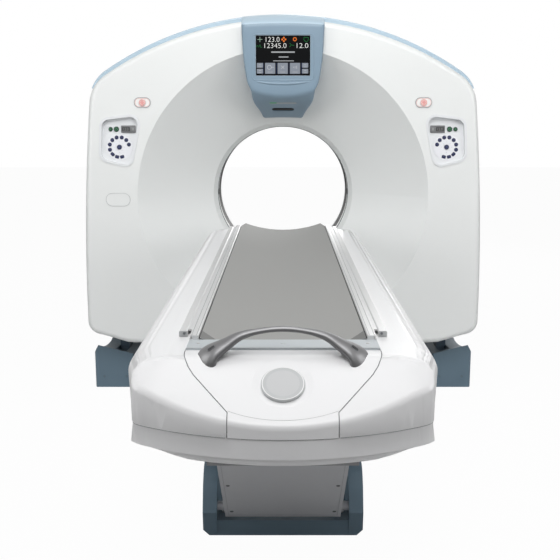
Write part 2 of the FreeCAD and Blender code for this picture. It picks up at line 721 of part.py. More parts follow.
def tilt_post():
    """Hourglass upright that carries one tilt shaft."""
    x0 = POST_IN_X
    waist_z = ISO_Z - POST_WAIST_DROP
    head = bar_x(POST_HEAD_R, x0, x0 + POST_T, 0, ISO_Z)
    shank = polygon_yz([(-POST_HEAD_R * 0.98, ISO_Z - 25), (-POST_HEAD_R * 0.72, ISO_Z - 500),
                        (-POST_WAIST_HALF, waist_z), (-POST_WAIST_HALF, waist_z - 30), (-150, BEAM_H - 1),
                        (150, BEAM_H - 1), (POST_WAIST_HALF, waist_z - 30), (POST_WAIST_HALF, waist_z),
                        (POST_HEAD_R * 0.72, ISO_Z - 500), (POST_HEAD_R * 0.98, ISO_Z - 25)], x0, x0 + POST_T)
    hole = bar_x(SHAFT_R + BUSH_WALL, x0 - 5, x0 + POST_T + 5, 0, ISO_Z)
    return head.fuse(shank).cut(hole)


def gantry_base_frame():
    """Welded floor beam with the two posts."""
    beam = box(-BEAM_HALF_X, BEAM_HALF_X, -BEAM_HALF_Y, BEAM_HALF_Y, 0, BEAM_H)
    beam = rounded(beam, 20, lambda e, m: along(e, Z_AXIS))
    pocket = box(-BEAM_HALF_X + 150, -60, -BEAM_HALF_Y + 60, BEAM_HALF_Y - 60, 14, BEAM_H + 1)
    return beam.cut([pocket, mirrored(pocket)]).fuse([tilt_post(), mirrored(tilt_post())]).removeSplitter()


def base_pieces():
    """Frame, bushings, tilt drive and side pods."""
    save("gantry_base_frame", gantry_base_frame())
    bush = bar_x(SHAFT_R + BUSH_WALL - SHAFT_GAP, POST_IN_X, POST_IN_X + POST_T, 0, ISO_Z)
    bush = bush.cut(bar_x(SHAFT_R + SHAFT_GAP, POST_IN_X - 1, POST_IN_X + POST_T + 1, 0, ISO_Z))
    save("tilt_bushings", Part.makeCompound([bush, mirrored(bush)]))
    x0 = POST_IN_X + POST_T
    drive = bar_x(DRIVE_R, x0, x0 + DRIVE_T, 0, ISO_Z)
    drive = drive.cut(bar_x(SHAFT_R + 2, x0 - 1, x0 + DRIVE_T - 12, 0, ISO_Z))
    save("tilt_drive", mirrored(drive))
    save("base_pods", Part.makeCompound([base_pod(), mirrored(base_pod())]))


# ================= tilting frame =================

def tilt_frame():
    """Cast plate around the bore with side arms that end in the tilt shafts."""
    plate = polygon_xz([(-FRAME_HALF_X, -ARM_HALF_Z), (-600, -FRAME_HALF_Z), (600, -FRAME_HALF_Z),
                        (FRAME_HALF_X, -ARM_HALF_Z), (FRAME_HALF_X, ARM_HALF_Z), (600, FRAME_HALF_Z),
                        (-600, FRAME_HALF_Z), (-FRAME_HALF_X, ARM_HALF_Z)], FRAME_Y, FRAME_Y + FRAME_T)
    plate.translate(V(0, 0, ISO_Z))
    plate = rounded(plate, 60, lambda e, m: along(e, Y_AXIS))
    rim = ring_y(BEARING_OUT_R + 30, BEARING_OUT_R + 75, FRAME_Y, FRAME_Y + FRAME_T + 14)
    hole = disc_y(FRAME_HOLE_R, FRAME_Y - 5, FRAME_Y + FRAME_T + 20)
    arm_in = FRAME_HALF_X - ARM_T
    side = polygon_yz([(FRAME_Y + 1, ARM_HALF_Z - 30), (-60, 110), (ARM_FRONT_Y, 60), (ARM_FRONT_Y, -60),
                       (-60, -110), (FRAME_Y + 1, -ARM_HALF_Z + 30)], arm_in, FRAME_HALF_X)
    side.translate(V(0, 0, ISO_Z))
    shaft = bar_x(SHAFT_R, FRAME_HALF_X - 10, POST_IN_X + POST_T + 20, 0, ISO_Z)
    collar = bar_x(SHAFT_R + 25, FRAME_HALF_X - 5, POST_IN_X - 2, 0, ISO_Z)
    right = side.fuse([shaft, collar])
    px, pz = pulley_place()
    motor_hole = disc_y(MOTOR_R + SEAT_GAP, FRAME_Y - 5, FRAME_Y + FRAME_T + 20, px, pz)
    return plate.fuse([rim, right, mirrored(right)] + cover_brackets()).cut([hole, motor_hole])


def cover_brackets():
    """Struts that hang the covers on the tilting frame, one at each corner, in two rows."""
    pieces = []
    for x, z in ((560, 1545), (-560, 1545), (735, 560), (-735, 560)):
        pieces.append(box(x - 25, x + 25, FRAME_Y + FRAME_T, REAR_FACE_Y - COVER_WALL - SEAT_GAP, z - 20, z + 20)
                      .cut(rear_funnel(COVER_WALL + 1)))
        top = 1 if z > ISO_Z else -1
        pieces.append(box(x - 25, x + 25, FRAME_Y, FRAME_Y + FRAME_T, z - 20 - (130 if top < 0 else -19),
                          z + 20 + (130 if top > 0 else -19)))
    return pieces


def pulley_place():
    """Middle of the drive pulley."""
    reach = DISC_OUT_R + PULLEY_CLEAR + PULLEY_R
    turn = math.radians(PULLEY_AT_DEG)
    return reach * math.cos(turn), ISO_Z + reach * math.sin(turn)


def belt_loop(grow, y0, y1):
    """Solid of the belt's outline around the disc and the pulley."""
    px, pz = pulley_place()
    reach = math.hypot(px, pz - ISO_Z)
    big, small = DISC_OUT_R + grow, PULLEY_R + grow
    lean = math.acos((big - small) / reach)
    toward = math.atan2(pz - ISO_Z, px)
    points = []
    for side in (1, -1):
        turn = toward + side * lean
        points.append((big * math.cos(turn), ISO_Z + big * math.sin(turn)))
        points.append((px + small * math.cos(turn), pz + small * math.sin(turn)))
    wedge = polygon_xz([points[0], points[1], points[3], points[2]], y0, y1)
    return wedge.fuse([disc_y(big, y0, y1), disc_y(small, y0, y1, px, pz)])


def gantry_inner_pieces():
    """Frame, outer bearing ring, belt drive and brush block."""
    save("tilt_frame", tilt_frame())
    save("bearing_outer_ring", ring_y(BEARING_SPLIT_R + BEARING_GAP, BEARING_OUT_R, DISC_Y + DISC_T + 5,
                                         FRAME_Y - SEAT_GAP))
    px, pz = pulley_place()
    y_mid = DISC_Y + DISC_T / 2
    belt = belt_loop(SEAT_GAP + BELT_T, y_mid - BELT_W / 2, y_mid + BELT_W / 2)
    save("drive_belt", belt.cut(belt_loop(SEAT_GAP, y_mid - BELT_W, y_mid + BELT_W)))
    motor = disc_y(MOTOR_R, FRAME_Y - 55, FRAME_Y + 170, px, pz)
    motor = motor.cut(disc_y(14 + SHAFT_GAP, FRAME_Y - 60, FRAME_Y + 60, px, pz))
    save("drive_motor", motor)
    save("brush_block", box(-70, 70, DISC_Y + DISC_T + SLIP_T + 1, FRAME_Y - SEAT_GAP, ISO_Z + SLIP_IN_R + 4,
                            ISO_Z + SLIP_OUT_R - 4))
    pulley = disc_y(PULLEY_R, y_mid - BELT_W / 2 - 3, y_mid + BELT_W / 2 + 3, px, pz)
    shaft = disc_y(14, y_mid, FRAME_Y + 50, px, pz)
    save("drive_pulley", pulley.fuse(shaft))


# ================= turning assembly =================

def rotor_disc():
    """Turning plate with lightening holes between its mounts."""
    disc = ring_y(DISC_IN_R, DISC_OUT_R, DISC_Y, DISC_Y + DISC_T)
    holes = []
    for turn in (62, 118, 152, 208, 332, 28):
        a = math.radians(turn)
        holes.append(disc_y(46, DISC_Y - 5, DISC_Y + DISC_T + 5, 455 * math.cos(a), ISO_Z + 455 * math.sin(a)))
    return disc.cut(holes)


def xray_tube():
    """Tube housing: a fat drum along the bore axis with domed ends and a window boss."""
    z = ISO_Z + FOCUS_R + 30
    drum = disc_y(TUBE_R, -TUBE_HALF_Y, DISC_Y - 1, 0, z)
    drum = rounded(drum, 24, lambda e, m: abs(m.y + TUBE_HALF_Y) < 0.01)
    foot = box(-80, 80, -70, DISC_Y, z - TUBE_R - 14, z - 20)
    return drum.fuse(foot)


def collimator():
    """Wedge-shaped collimator box with its fan slot, under the tube."""
    top = ISO_Z + FOCUS_R + 30 - TUBE_R - 14
    block = polygon_xz([(-70, top - 1), (-96, top - 74), (96, top - 74), (70, top - 1)], -62, DISC_Y)
    slot = polygon_xz([(-20, top + 5), (-52, top - 90), (52, top - 90), (20, top + 5)], -20, 20)
    return block.cut(slot)


def detector():
    """Curved detector box centred on the focal spot."""
    focus_z = ISO_Z + FOCUS_R
    half = math.radians(DETECTOR_HALF_DEG)
    edges = []
    ends = []
    for r in (DETECTOR_R, DETECTOR_R + DETECTOR_T):
        a = V(-r * math.sin(half), -DETECTOR_HALF_Y, focus_z - r * math.cos(half))
        b = V(r * math.sin(half), -DETECTOR_HALF_Y, focus_z - r * math.cos(half))
        edges.append(arc(a, V(0, -DETECTOR_HALF_Y, focus_z - r), b))
        ends.append((a, b))
    edges += [line(ends[0][0], ends[1][0]), line(ends[0][1], ends[1][1])]
    return face_of(edges).extrude(V(0, DISC_Y + DETECTOR_HALF_Y, 0))


def rotor_pieces():
    """Disc with all that turns with it."""
    save("rotor_disc", rotor_disc())
    save("bearing_inner_ring", ring_y(BEARING_IN_R, BEARING_SPLIT_R, DISC_Y + DISC_T, FRAME_Y - 5))
    save("slip_ring", ring_y(SLIP_IN_R, SLIP_OUT_R, DISC_Y + DISC_T, DISC_Y + DISC_T + SLIP_T))
    save("xray_tube", xray_tube())
    save("collimator", collimator())
    save("detector_arc", detector())
    tank = box(470, 660, -80, DISC_Y, ISO_Z - 40, ISO_Z + 210)
    save("high_voltage_tank", rounded(tank, 18, lambda e, m: along(e, Y_AXIS)))
    cooler = box(-650, -470, -80, DISC_Y, ISO_Z - 40, ISO_Z + 210)
    fins = [box(-640, -480, -90, -50, ISO_Z - 25 + 24 * i, ISO_Z - 13 + 24 * i) for i in range(10)]
    save("heat_exchanger", cooler.cut(fins))
    weight_top = ISO_Z + FOCUS_R - DETECTOR_R - DETECTOR_T - 42
    weight = ring_y(560, 690, 40, DISC_Y).common(box(-330, 330, 0, 200, 0, weight_top))
    save("counterweight", weight)


# ================= patient table =================

def shell_plan(z0, z1, inset):
    """Plan outline of the table: straight sides, bowed foot end, rounded corners."""
    half = SHELL_HALF + 1.5 - inset
    foot = SHELL_FOOT_Y + inset
    bow = half ** 2 / (2 * SHELL_FOOT_R)
    edges = [
        line(V(half, SHELL_HEAD_Y - inset, z0), V(-half, SHELL_HEAD_Y - inset, z0)),
        line(V(-half, SHELL_HEAD_Y - inset, z0), V(-half, foot + bow, z0)),
        arc(V(-half, foot + bow, z0), V(0, foot, z0), V(half, foot + bow, z0)),
        line(V(half, foot + bow, z0), V(half, SHELL_HEAD_Y - inset, z0)),
    ]
    block = face_of(edges).extrude(V(0, 0, z1 - z0))
    block = rounded(block, 130 - inset, lambda e, m: along(e, Z_AXIS) and m.y < -2000)
    return rounded(block, 70 - inset, lambda e, m: along(e, Z_AXIS) and m.y > -2000)


def shell_side(inset):
    """Side profile of the table: sloping foot, tapered head."""
    top = SHELL_TOP_Z - inset
    low = SHELL_LOW_Z + inset
    side = polygon_yz([(SHELL_HEAD_Y + 50, top), (SHELL_HEAD_Y + 50, SHELL_HEAD_LOW_Z + inset),
                       (SHELL_HEAD_Y, SHELL_HEAD_LOW_Z + inset), (SHELL_TAPER_Y, low),
                       (SHELL_FOOT_Y - 50, low), (SHELL_FOOT_Y - 50, FOOT_TIP_Z - inset * 1.3 - 32),
                       (FOOT_SLOPE_Y + inset * 0.3, top)], -600, 600)
    return rounded(side, 40 - inset, lambda e, m: along(e, X_AXIS) and m.z > top - 1 and m.y < -2000)


def shell_section(inset):
    """Cross-section of the table: rolled upper edges, sides drawn in below a crease."""
    half = SHELL_HALF - inset
    top = SHELL_TOP_Z - inset
    low = SHELL_LOW_Z - 20 + inset
    r = SHELL_EDGE_R - inset
    y = SHELL_FOOT_Y - 60
    bend = V(half - r + r * math.sin(math.pi / 4), y, top - r + r * math.cos(math.pi / 4))
    right = [
        arc(V(half - r, y, top), bend, V(half, y, top - r)),
        line(V(half, y, top - r), V(half - 4, y, CREASE_Z)),
        line(V(half - 4, y, CREASE_Z), V(half - 7, y, CREASE_Z)),
        line(V(half - 7, y, CREASE_Z), V(half - 36, y, low)),
    ]
    ends = [line(V(-half + r, y, top), V(half - r, y, top)),
            line(V(-half + 36, y, low), V(half - 36, y, low))]
    edges = right + [mirrored(edge) for edge in right] + ends
    return face_of(edges).extrude(V(0, SHELL_HEAD_Y - SHELL_FOOT_Y + 120, 0))


def shell_block(inset):
    """Outer form of the table shell."""
    block = shell_plan(SHELL_LOW_Z - 50, SHELL_TOP_Z + 50, inset).common(shell_side(inset))
    block = block.common(shell_section(inset))
    if inset > 0:
        return block
    return rounded(block, FOOT_EDGE_R, lambda e, m: m.y < FOOT_SLOPE_Y + 90 and e.BoundBox.ZMin > FOOT_TIP_Z - 2
                   and e.BoundBox.ZMax < SHELL_TOP_Z - 18)


def seam_plan(z0, z1, inset):
    """Plan of the parting between shell and cradle tail: full width, then slanting in to the apron."""
    wide = CHANNEL_HALF - inset
    slim = APRON_HALF - inset
    bend = [V(wide, SEAM_BEND_Y, z0), V(wide * 0.975, SEAM_BEND_Y - 42, z0), V(wide * 0.88, SEAM_BEND_Y - 82, z0)]
    toe = V(slim, SEAM_TOE_Y, z0)
    right = [
        line(V(wide, SHELL_HEAD_Y + 200, z0), bend[0]),
        arc(bend[0], bend[1], bend[2]),
        line(bend[2], toe),
        line(toe, V(slim, SHELL_FOOT_Y - 100, z0)),
    ]
    left = [mirrored(edge) for edge in right]
    ends = [line(V(-wide, SHELL_HEAD_Y + 200, z0), V(wide, SHELL_HEAD_Y + 200, z0)),
            line(V(-slim, SHELL_FOOT_Y - 100, z0), V(slim, SHELL_FOOT_Y - 100, z0))]
    return face_of(right + left + ends).extrude(V(0, 0, z1 - z0))


def channel(grow):
    """Way along the shell's middle in which the cradle's tail runs."""
    plan = seam_plan(CHANNEL_LOW_Z - grow, OVER_SHELL_Z, -grow)
    deep = plan.common(box(-500, 500, SHELL_FOOT_Y - 100, SHELL_TAPER_Y + 20 + grow, 0, OVER_SHELL_Z))
    shallow = box(-CHANNEL_HALF - grow, CHANNEL_HALF + grow, SHELL_TAPER_Y - 100, SHELL_HEAD_Y + 100,
                  CHANNEL_HEAD_Z - grow, OVER_SHELL_Z)
    return deep.fuse(shallow)


def table_shell():
    """Long moulded shell with the cradle's channel, open under the middle for the arms."""
    skin = shell_block(0.0).cut(channel(0.0))
    core = shell_block(SHELL_WALL).cut(channel(SHELL_WALL))
    skin = skin.cut(core)
    hatchway = box(-TUB_HALF_TOP + TUB_WALL, TUB_HALF_TOP - TUB_WALL, TUB_FRONT_Y + TUB_WALL,
                   TUB_REAR_Y - TUB_WALL, 600, CHANNEL_LOW_Z - SHELL_WALL - 0.5)
    return skin.cut(hatchway)


def carriage_tub():
    """Shallow open tub under the shell, between whose sides the arms fold."""
    def section(grow):
        half_top = TUB_HALF_TOP - grow
        half_low = TUB_HALF_LOW - grow
        z_top = SHELL_LOW_Z - SEAT_GAP
        return polygon_xz([(-half_top, z_top), (-half_low, z_top - 26), (-half_low, TUB_LOW_Z),
                           (half_low, TUB_LOW_Z), (half_low, z_top - 26), (half_top, z_top)],
                          TUB_FRONT_Y + grow, TUB_REAR_Y + grow)
    skin = section(0.0).cut(section(TUB_WALL))
    floor = box(-TUB_HALF_LOW + TUB_WALL, TUB_HALF_LOW - TUB_WALL, TUB_FRONT_Y + TUB_WALL,
                TUB_REAR_Y - TUB_WALL, TUB_LOW_Z - 10, SHELL_LOW_Z + 10)
    return skin.cut(floor)


def upper_pivot(arm_y):
    """Top pivot of a swing arm at the photographed height."""
    lean = math.radians(ARM_LEAN_DEG)
    return arm_y - ARM_LEN * math.sin(lean), ARM_LOW_Z + ARM_LEN * math.cos(lean)


def carriage_frame():
    """Plate under the channel with two ears at each upper pivot."""
    top = CHANNEL_LOW_Z - SHELL_WALL - SEAT_GAP
    frame = box(-225, 225, TUB_FRONT_Y + 20, TUB_REAR_Y - 20, top - 14, top)
    holes = []
    ears = []
    for arm_y in (FRONT_ARM_Y, REAR_ARM_Y):
        y, z = upper_pivot(arm_y)
        for side in (1, -1):
            x0 = side * EAR_IN_X if side > 0 else -EAR_IN_X - EAR_T
            ears.append(box(x0, x0 + EAR_T, y - PIN_BOSS_R, y + PIN_BOSS_R, z, top - 10))
            ears.append(bar_x(PIN_BOSS_R, x0, x0 + EAR_T, y, z))
        holes.append(bar_x(PIN_R + SHAFT_GAP, -300, 300, y, z))
    return frame.fuse(ears).cut(holes)


def upper_pins():
    """The two pins that hold the carriage on the arms."""
    pins = []
    for arm_y in (FRONT_ARM_Y, REAR_ARM_Y):
        y, z = upper_pivot(arm_y)
        pins.append(bar_x(PIN_R, -ARM_HALF_W - 4, ARM_HALF_W + 4, y, z))
    return Part.makeCompound(pins)


def swing_arm(arm_y, bore_gap):
    """Welded arm: two side plates with round ends, cross tubes and the turning lower shaft."""
    length = ARM_LEN
    half = ARM_DEPTH / 2
    parts = []
    for side in (1, -1):
        x0 = ARM_HALF_W - ARM_SIDE_T if side > 0 else -ARM_HALF_W
        x1 = x0 + ARM_SIDE_T
        plate = polygon_yz([(-half + COVER_PANEL_T, 0), (-half + COVER_PANEL_T, length - 70), (-PIN_BOSS_R * 0.8, length),
                            (PIN_BOSS_R * 0.8, length), (half, length - 70), (half, 0)], x0, x1)
        parts += [plate, bar_x(half - COVER_PANEL_T, x0, x1, 0, 0), bar_x(PIN_BOSS_R, x0, x1, 0, length)]
    for share in (0.22, 0.5, 0.78):
        parts.append(bar_x(24, -ARM_HALF_W + 2, ARM_HALF_W - 2, 4, length * share))
    parts.append(bar_x(PIN_R, -TBASE_HALF + TBASE_WALL - 22, TBASE_HALF - TBASE_WALL + 22, 0, 0))
    arm = parts[0].fuse(parts[1:]).cut(bar_x(PIN_R + bore_gap, -300, 300, 0, length))
    arm.rotate(V(0, 0, 0), X_AXIS, ARM_LEAN_DEG)
    arm.translate(V(0, arm_y, ARM_LOW_Z))
    return arm


def arm_cover():
    """Folded grey cover on the front arm's lower face."""
    half = ARM_DEPTH / 2
    panel = box(-ARM_HALF_W - 4, ARM_HALF_W + 4, -half, -half + COVER_PANEL_T, -6, ARM_LEN - 60)
    lips = [box(ARM_HALF_W - 1, ARM_HALF_W + 4, -half, -4, -2, ARM_LEN - 60)]
    lips.append(mirrored(lips[0]))
    cover = panel.fuse(lips)
    cover.rotate(V(0, 0, 0), X_AXIS, ARM_LEAN_DEG)
    cover.translate(V(0, FRONT_ARM_Y, ARM_LOW_Z))
    return cover


def table_base():
    """Cast table base: floor plate between two side walls with rounded, leaning front corners."""
    profile = [(TBASE_FRONT_Y, 0), (TBASE_FRONT_Y - 14, 90), (TBASE_FRONT_Y + 16, 176),
               (TBASE_FRONT_Y + 62, TBASE_SIDE_Z), (TBASE_REAR_Y - 60, TBASE_SIDE_Z),
               (TBASE_REAR_Y, TBASE_SIDE_Z - 60), (TBASE_REAR_Y, 0)]
    walls = []
    for side in (1, -1):
        x0 = TBASE_HALF - TBASE_WALL if side > 0 else -TBASE_HALF
        wall = polygon_yz(profile, x0, x0 + TBASE_WALL)
        wall = rounded(wall, 70, lambda e, m: along(e, X_AXIS) and m.z > 150)
        walls.append(wall)
    floor = box(-TBASE_HALF + 10, TBASE_HALF - 10, TBASE_FRONT_Y, TBASE_REAR_Y, 0, TBASE_FLOOR_T)
    base = floor.fuse(walls).removeSplitter()
    bevel = 22
    for side in (1, -1):
        x = side * TBASE_HALF
        y0 = TBASE_FRONT_Y - 100
        base = base.cut(Part.Face(Part.makePolygon([V(x, y0, -1), V(x - side * bevel, y0, -1), V(x, y0, bevel),
                                                    V(x + side, y0, bevel), V(x + side, y0, -1), V(x, y0, -1)]))
                        .extrude(V(0, TBASE_REAR_Y + 100 - y0, 0)))
    holes = [bar_x(PIN_R + SHAFT_GAP, -TBASE_HALF + TBASE_WALL - 26, TBASE_HALF - TBASE_WALL + 26, y, ARM_LOW_Z)
             for y in (FRONT_ARM_Y, REAR_ARM_Y)]
    return base.cut(holes)


def lift_gearmotor():
    """Hollow-shaft geared motor on the rear arm's lower shaft."""
    housing = bar_x(36, -120, 120, REAR_ARM_Y, ARM_LOW_Z)
    foot = box(-100, 100, REAR_ARM_Y + 4, REAR_ARM_Y + 120, TBASE_FLOOR_T, ARM_LOW_Z + 34)
    motor = bar_x(40, -100, 100, REAR_ARM_Y + 120, TBASE_FLOOR_T + 44)
    return housing.fuse([foot, motor]).cut(bar_x(PIN_R + SHAFT_GAP, -200, 200, REAR_ARM_Y, ARM_LOW_Z))


def guide_rail():
    """Fixed guide beside the cradle, with the tongue that runs in the cradle rail's groove."""
    rail = box(GUIDE_IN_X, GUIDE_OUT_X, GUIDE_FOOT_Y, SHELL_HEAD_Y - 6, SHELL_TOP_Z, GUIDE_TOP_Z)
    rail = rounded(rail, 4, lambda e, m: along(e, Y_AXIS) and m.z > GUIDE_TOP_Z - 1)
    tongue = box(TONGUE_X, GUIDE_IN_X + 2, GUIDE_FOOT_Y + 30, SHELL_HEAD_Y - 6, TONGUE_Z, TONGUE_Z + TONGUE_T)
    return rail.fuse(tongue)


# ================= sliding cradle =================

def pan_z(x):
    """Height of the cradle pan's upper face at a distance from the middle."""
    radius = (PAN_HALF ** 2 + PAN_SAG ** 2) / (2 * PAN_SAG)
    return PAN_EDGE_Z - PAN_SAG + radius - math.sqrt(radius ** 2 - x ** 2)


def cradle_pan():
    """Long dished pan of carbon laminate, its head corners cut back."""
    y0 = PAN_FOOT_Y
    up, down = pan_z(PAN_HALF), pan_z(PAN_HALF) - PAN_T
    edges = [
        arc(V(-PAN_HALF, y0, up), V(0, y0, PAN_EDGE_Z - PAN_SAG), V(PAN_HALF, y0, up)),
        line(V(PAN_HALF, y0, up), V(PAN_HALF, y0, down)),
        arc(V(PAN_HALF, y0, down), V(0, y0, PAN_EDGE_Z - PAN_SAG - PAN_T), V(-PAN_HALF, y0, down)),
        line(V(-PAN_HALF, y0, down), V(-PAN_HALF, y0, up)),
    ]
    pan = face_of(edges).extrude(V(0, PAN_HEAD_Y - PAN_FOOT_Y, 0))
    for side in (1, -1):
        x = side * PAN_HALF
        corner = polygon_xy([(x - side * 14, PAN_HEAD_Y + 1), (x + side * 2, PAN_HEAD_Y + 1),
                             (x + side * 2, RAIL_HEAD_Y + 10)], 700, 1000)
        pan = pan.cut(corner)
    return pan


def side_rail():
    """Cradle rail: ledge under the pan, groove for the guide's tongue."""
    length = (PAN_FOOT_Y, RAIL_HEAD_Y)
    rail = box(RAIL_IN_X, RAIL_OUT_X, *length, RAIL_LOW_Z, RAIL_TOP_Z)
    rail = rounded(rail, 3.5, lambda e, m: along(e, Y_AXIS) and m.z > RAIL_TOP_Z - 1)
    ledge_x = RAIL_IN_X - 14
    ledge = box(ledge_x, RAIL_IN_X + 1, *length, RAIL_LOW_Z, pan_z(ledge_x) - PAN_T - SEAT_GAP - 0.6)
    groove = box(TONGUE_X - SLIDE_GAP, RAIL_OUT_X + 1, length[0] - 1, length[1] + 1, TONGUE_Z - SLIDE_GAP,
                 TONGUE_Z + TONGUE_T + SLIDE_GAP)
    return rail.fuse(ledge).cut(groove)


def end_strip():
    """Pale strip across the cradle's foot end."""
    strip = box(-RAIL_OUT_X, RAIL_OUT_X, STRIP_FOOT_Y, PAN_FOOT_Y - SEAT_GAP, RAIL_LOW_Z, STRIP_TOP_Z)
    return rounded(strip, 1.5, lambda e, m: m.z > STRIP_TOP_Z - 0.01)


def slope_frame():
    """Place and lean of the sloping foot face at the roundel: centre and outward direction."""
    run = abs(SHELL_FOOT_Y - FOOT_SLOPE_Y) + 50
    drop = SHELL_TOP_Z - (FOOT_TIP_Z - 29)
    z = SHELL_TOP_Z - drop * (FOOT_SLOPE_Y - ROUNDEL_Y) / run
    out = V(0, -drop, run)
    out.normalize()
    return V(0, ROUNDEL_Y, z), out


def tail_cover():
    """Moulded end of the cradle: flush with the table's sloping foot, open underneath."""
    outer = shell_block(0.0).common(seam_plan(TAIL_LOW_Z, 1000, TAIL_GAP))
    outer = outer.common(box(-400, 400, SHELL_FOOT_Y - 100, STRIP_FOOT_Y - SEAT_GAP, 0, OVER_SHELL_Z))
    inner = shell_block(TAIL_WALL).common(seam_plan(600, 1000, TAIL_GAP + TAIL_WALL))
    inner = inner.common(box(-400, 400, SHELL_FOOT_Y - 100, STRIP_FOOT_Y - 12, 600, OVER_SHELL_Z))
    centre, out = slope_frame()
    dish = Part.makeCone(ROUNDEL_R + 3, ROUNDEL_R + 24, 3.5, centre - out * 3.5, out)
    skin = outer.cut(inner)
    return skin.cut(dish)


def handle():
    """Arched steel handle, thickening to its two feet."""
    rise = HANDLE_TOP_Z - SHELL_TOP_Z
    radius = (HANDLE_HALF ** 2 + rise ** 2) / (2 * rise)
    reach = math.asin(HANDLE_HALF / radius)
    sections = []
    steps = 10
    for i in range(steps + 1):
        turn = -reach + 2 * reach * i / steps
        swell = abs(turn / reach) ** 3
        r = HANDLE_TUBE_R + (HANDLE_FOOT_R - HANDLE_TUBE_R) * swell
        centre = V(radius * math.sin(turn), HANDLE_Y, HANDLE_TOP_Z - radius + radius * math.cos(turn))
        tangent = V(math.cos(turn), 0, -math.sin(turn))
        sections.append(Part.Wire(Part.Circle(centre, tangent, r).toShape()))
    arch = Part.makeLoft(sections, True, False)
    below = box(-400, 400, HANDLE_Y - 200, HANDLE_Y + 200, 600, SHELL_TOP_Z + SEAT_GAP)
    return arch.cut(below)


def roundel():
    """Plain domed disc on the sloping foot face."""
    centre, out = slope_frame()
    disc = Part.makeCylinder(ROUNDEL_R, ROUNDEL_T, centre - out * 3.2, out)
    return disc.makeChamfer(2.0, [e for e in disc.Edges if (e.CenterOfMass - centre).dot(out) > 1])


def floor_duct():
    """Low cable duct on the floor between the table's base and the gantry's base."""
    return box(-DUCT_HALF, DUCT_HALF, TBASE_REAR_Y + SEAT_GAP, -BEAM_HALF_Y - SEAT_GAP, 0, DUCT_H)


def table_pieces():
    """Base, arms, carriage, shell and cradle."""
    save("table_base", table_base())
    save("floor_duct", floor_duct())
    save("lift_gearmotor", lift_gearmotor())
    save("front_swing_arm", swing_arm(FRONT_ARM_Y, OPEN_PIVOT_GAP).fuse(arm_cover()))
    save("rear_swing_arm", swing_arm(REAR_ARM_Y, SHAFT_GAP))
    save("carriage_frame", carriage_frame())
    save("upper_pins", upper_pins())
    save("carriage_tub", carriage_tub())
    save("table_shell", table_shell())
    save("guide_rails", Part.makeCompound([guide_rail(), mirrored(guide_rail())]))
    save("cradle_pan", cradle_pan())
    save("side_rails", Part.makeCompound([side_rail(), mirrored(side_rail())]))
    save("end_strip", end_strip())
    save("tail_cover", tail_cover())
    save("cradle_handle", handle())
    save("roundel", roundel())


os.makedirs("parts", exist_ok=True)
save("front_cover", front_cover())
save("rear_cover", rear_cover())
save("top_cover", top_cover())
throat_pieces()
display_pieces()
face_pieces()
base_pieces()
gantry_inner_pieces()
rotor_pieces()
table_pieces()
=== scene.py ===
"""Looks of a tilting-gantry CT scanner and its patient table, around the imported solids."""

import logging
import math
from dataclasses import dataclass
from enum import Enum
from typing import Callable, Optional, Sequence, Union

import bmesh
import bpy
from mathutils import Matrix, Vector


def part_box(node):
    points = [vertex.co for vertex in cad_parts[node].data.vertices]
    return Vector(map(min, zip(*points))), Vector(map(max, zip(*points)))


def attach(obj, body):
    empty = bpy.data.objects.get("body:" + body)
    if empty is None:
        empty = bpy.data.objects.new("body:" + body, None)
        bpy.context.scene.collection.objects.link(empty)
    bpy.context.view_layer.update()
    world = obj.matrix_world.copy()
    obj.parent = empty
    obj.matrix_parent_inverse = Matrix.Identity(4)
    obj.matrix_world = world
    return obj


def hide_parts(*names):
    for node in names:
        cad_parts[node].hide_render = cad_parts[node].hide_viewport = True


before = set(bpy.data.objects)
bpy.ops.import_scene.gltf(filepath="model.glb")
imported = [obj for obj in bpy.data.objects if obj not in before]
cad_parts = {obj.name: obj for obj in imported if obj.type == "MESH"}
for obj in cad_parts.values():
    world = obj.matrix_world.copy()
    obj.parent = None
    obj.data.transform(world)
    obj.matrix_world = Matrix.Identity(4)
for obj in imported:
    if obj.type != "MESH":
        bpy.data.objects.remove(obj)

LOG = logging.getLogger("ct_scanner")
MM = 0.001
ISO_Z = 1.035  # height of the bore's middle

Colour = tuple[float, float, float, float]
Point = tuple[float, float, float]
Place = tuple[Point, Point]
Key = Union[str, int]

WHITE: Colour = (1.0, 1.0, 1.0, 1.0)
MERGE_GAP = 0.000002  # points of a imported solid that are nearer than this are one
TEXT_THINNER = -0.012  # how far a letter's outline draws in, in letter heights

FRONT: Point = (0.0, -1.0, 0.0)
REAR: Point = (0.0, 1.0, 0.0)
UP: Point = (0.0, 0.0, 1.0)
DOWN: Point = (0.0, 0.0, -1.0)
SIDES = ((1, "right"), (-1, "left"))


# ---------------------------------------------------------------- colour and nodes

def linear(code: str) -> Colour:
    """Turn an sRGB hex value into a linear colour.

    Args:
        code: six hex digits, such as "E1E4E3".

    Returns:
        The linear red, green, blue and an alpha of one.
    """
    channels = [int(code[i:i + 2], 16) / 255 for i in (0, 2, 4)]
    r, g, b = [c / 12.92 if c <= 0.04045 else ((c + 0.055) / 1.055) ** 2.4 for c in channels]
    return r, g, b, 1.0


def add_node(tree: bpy.types.NodeTree, kind: str, settings: Optional[dict[Key, object]] = None,
             links: Optional[dict[Key, bpy.types.NodeSocket]] = None) -> bpy.types.Node:
    """Add one shader node with its settings and links.

    Args:
        tree: the node tree that gets the node.
        kind: the node's type name.
        settings: values for inputs, by name or index, or for attributes of the node.
        links: output sockets that feed the named inputs.

    Returns:
        The new node.
    """
    node = tree.nodes.new(kind)
    for key, value in (settings or {}).items():
        if isinstance(key, str) and hasattr(node, key):
            setattr(node, key, value)
    for key, value in (settings or {}).items():
        if isinstance(key, int) or not hasattr(node, key):
            node.inputs[key].default_value = value
    for key, socket in (links or {}).items():
        tree.links.new(socket, node.inputs[key])
    return node


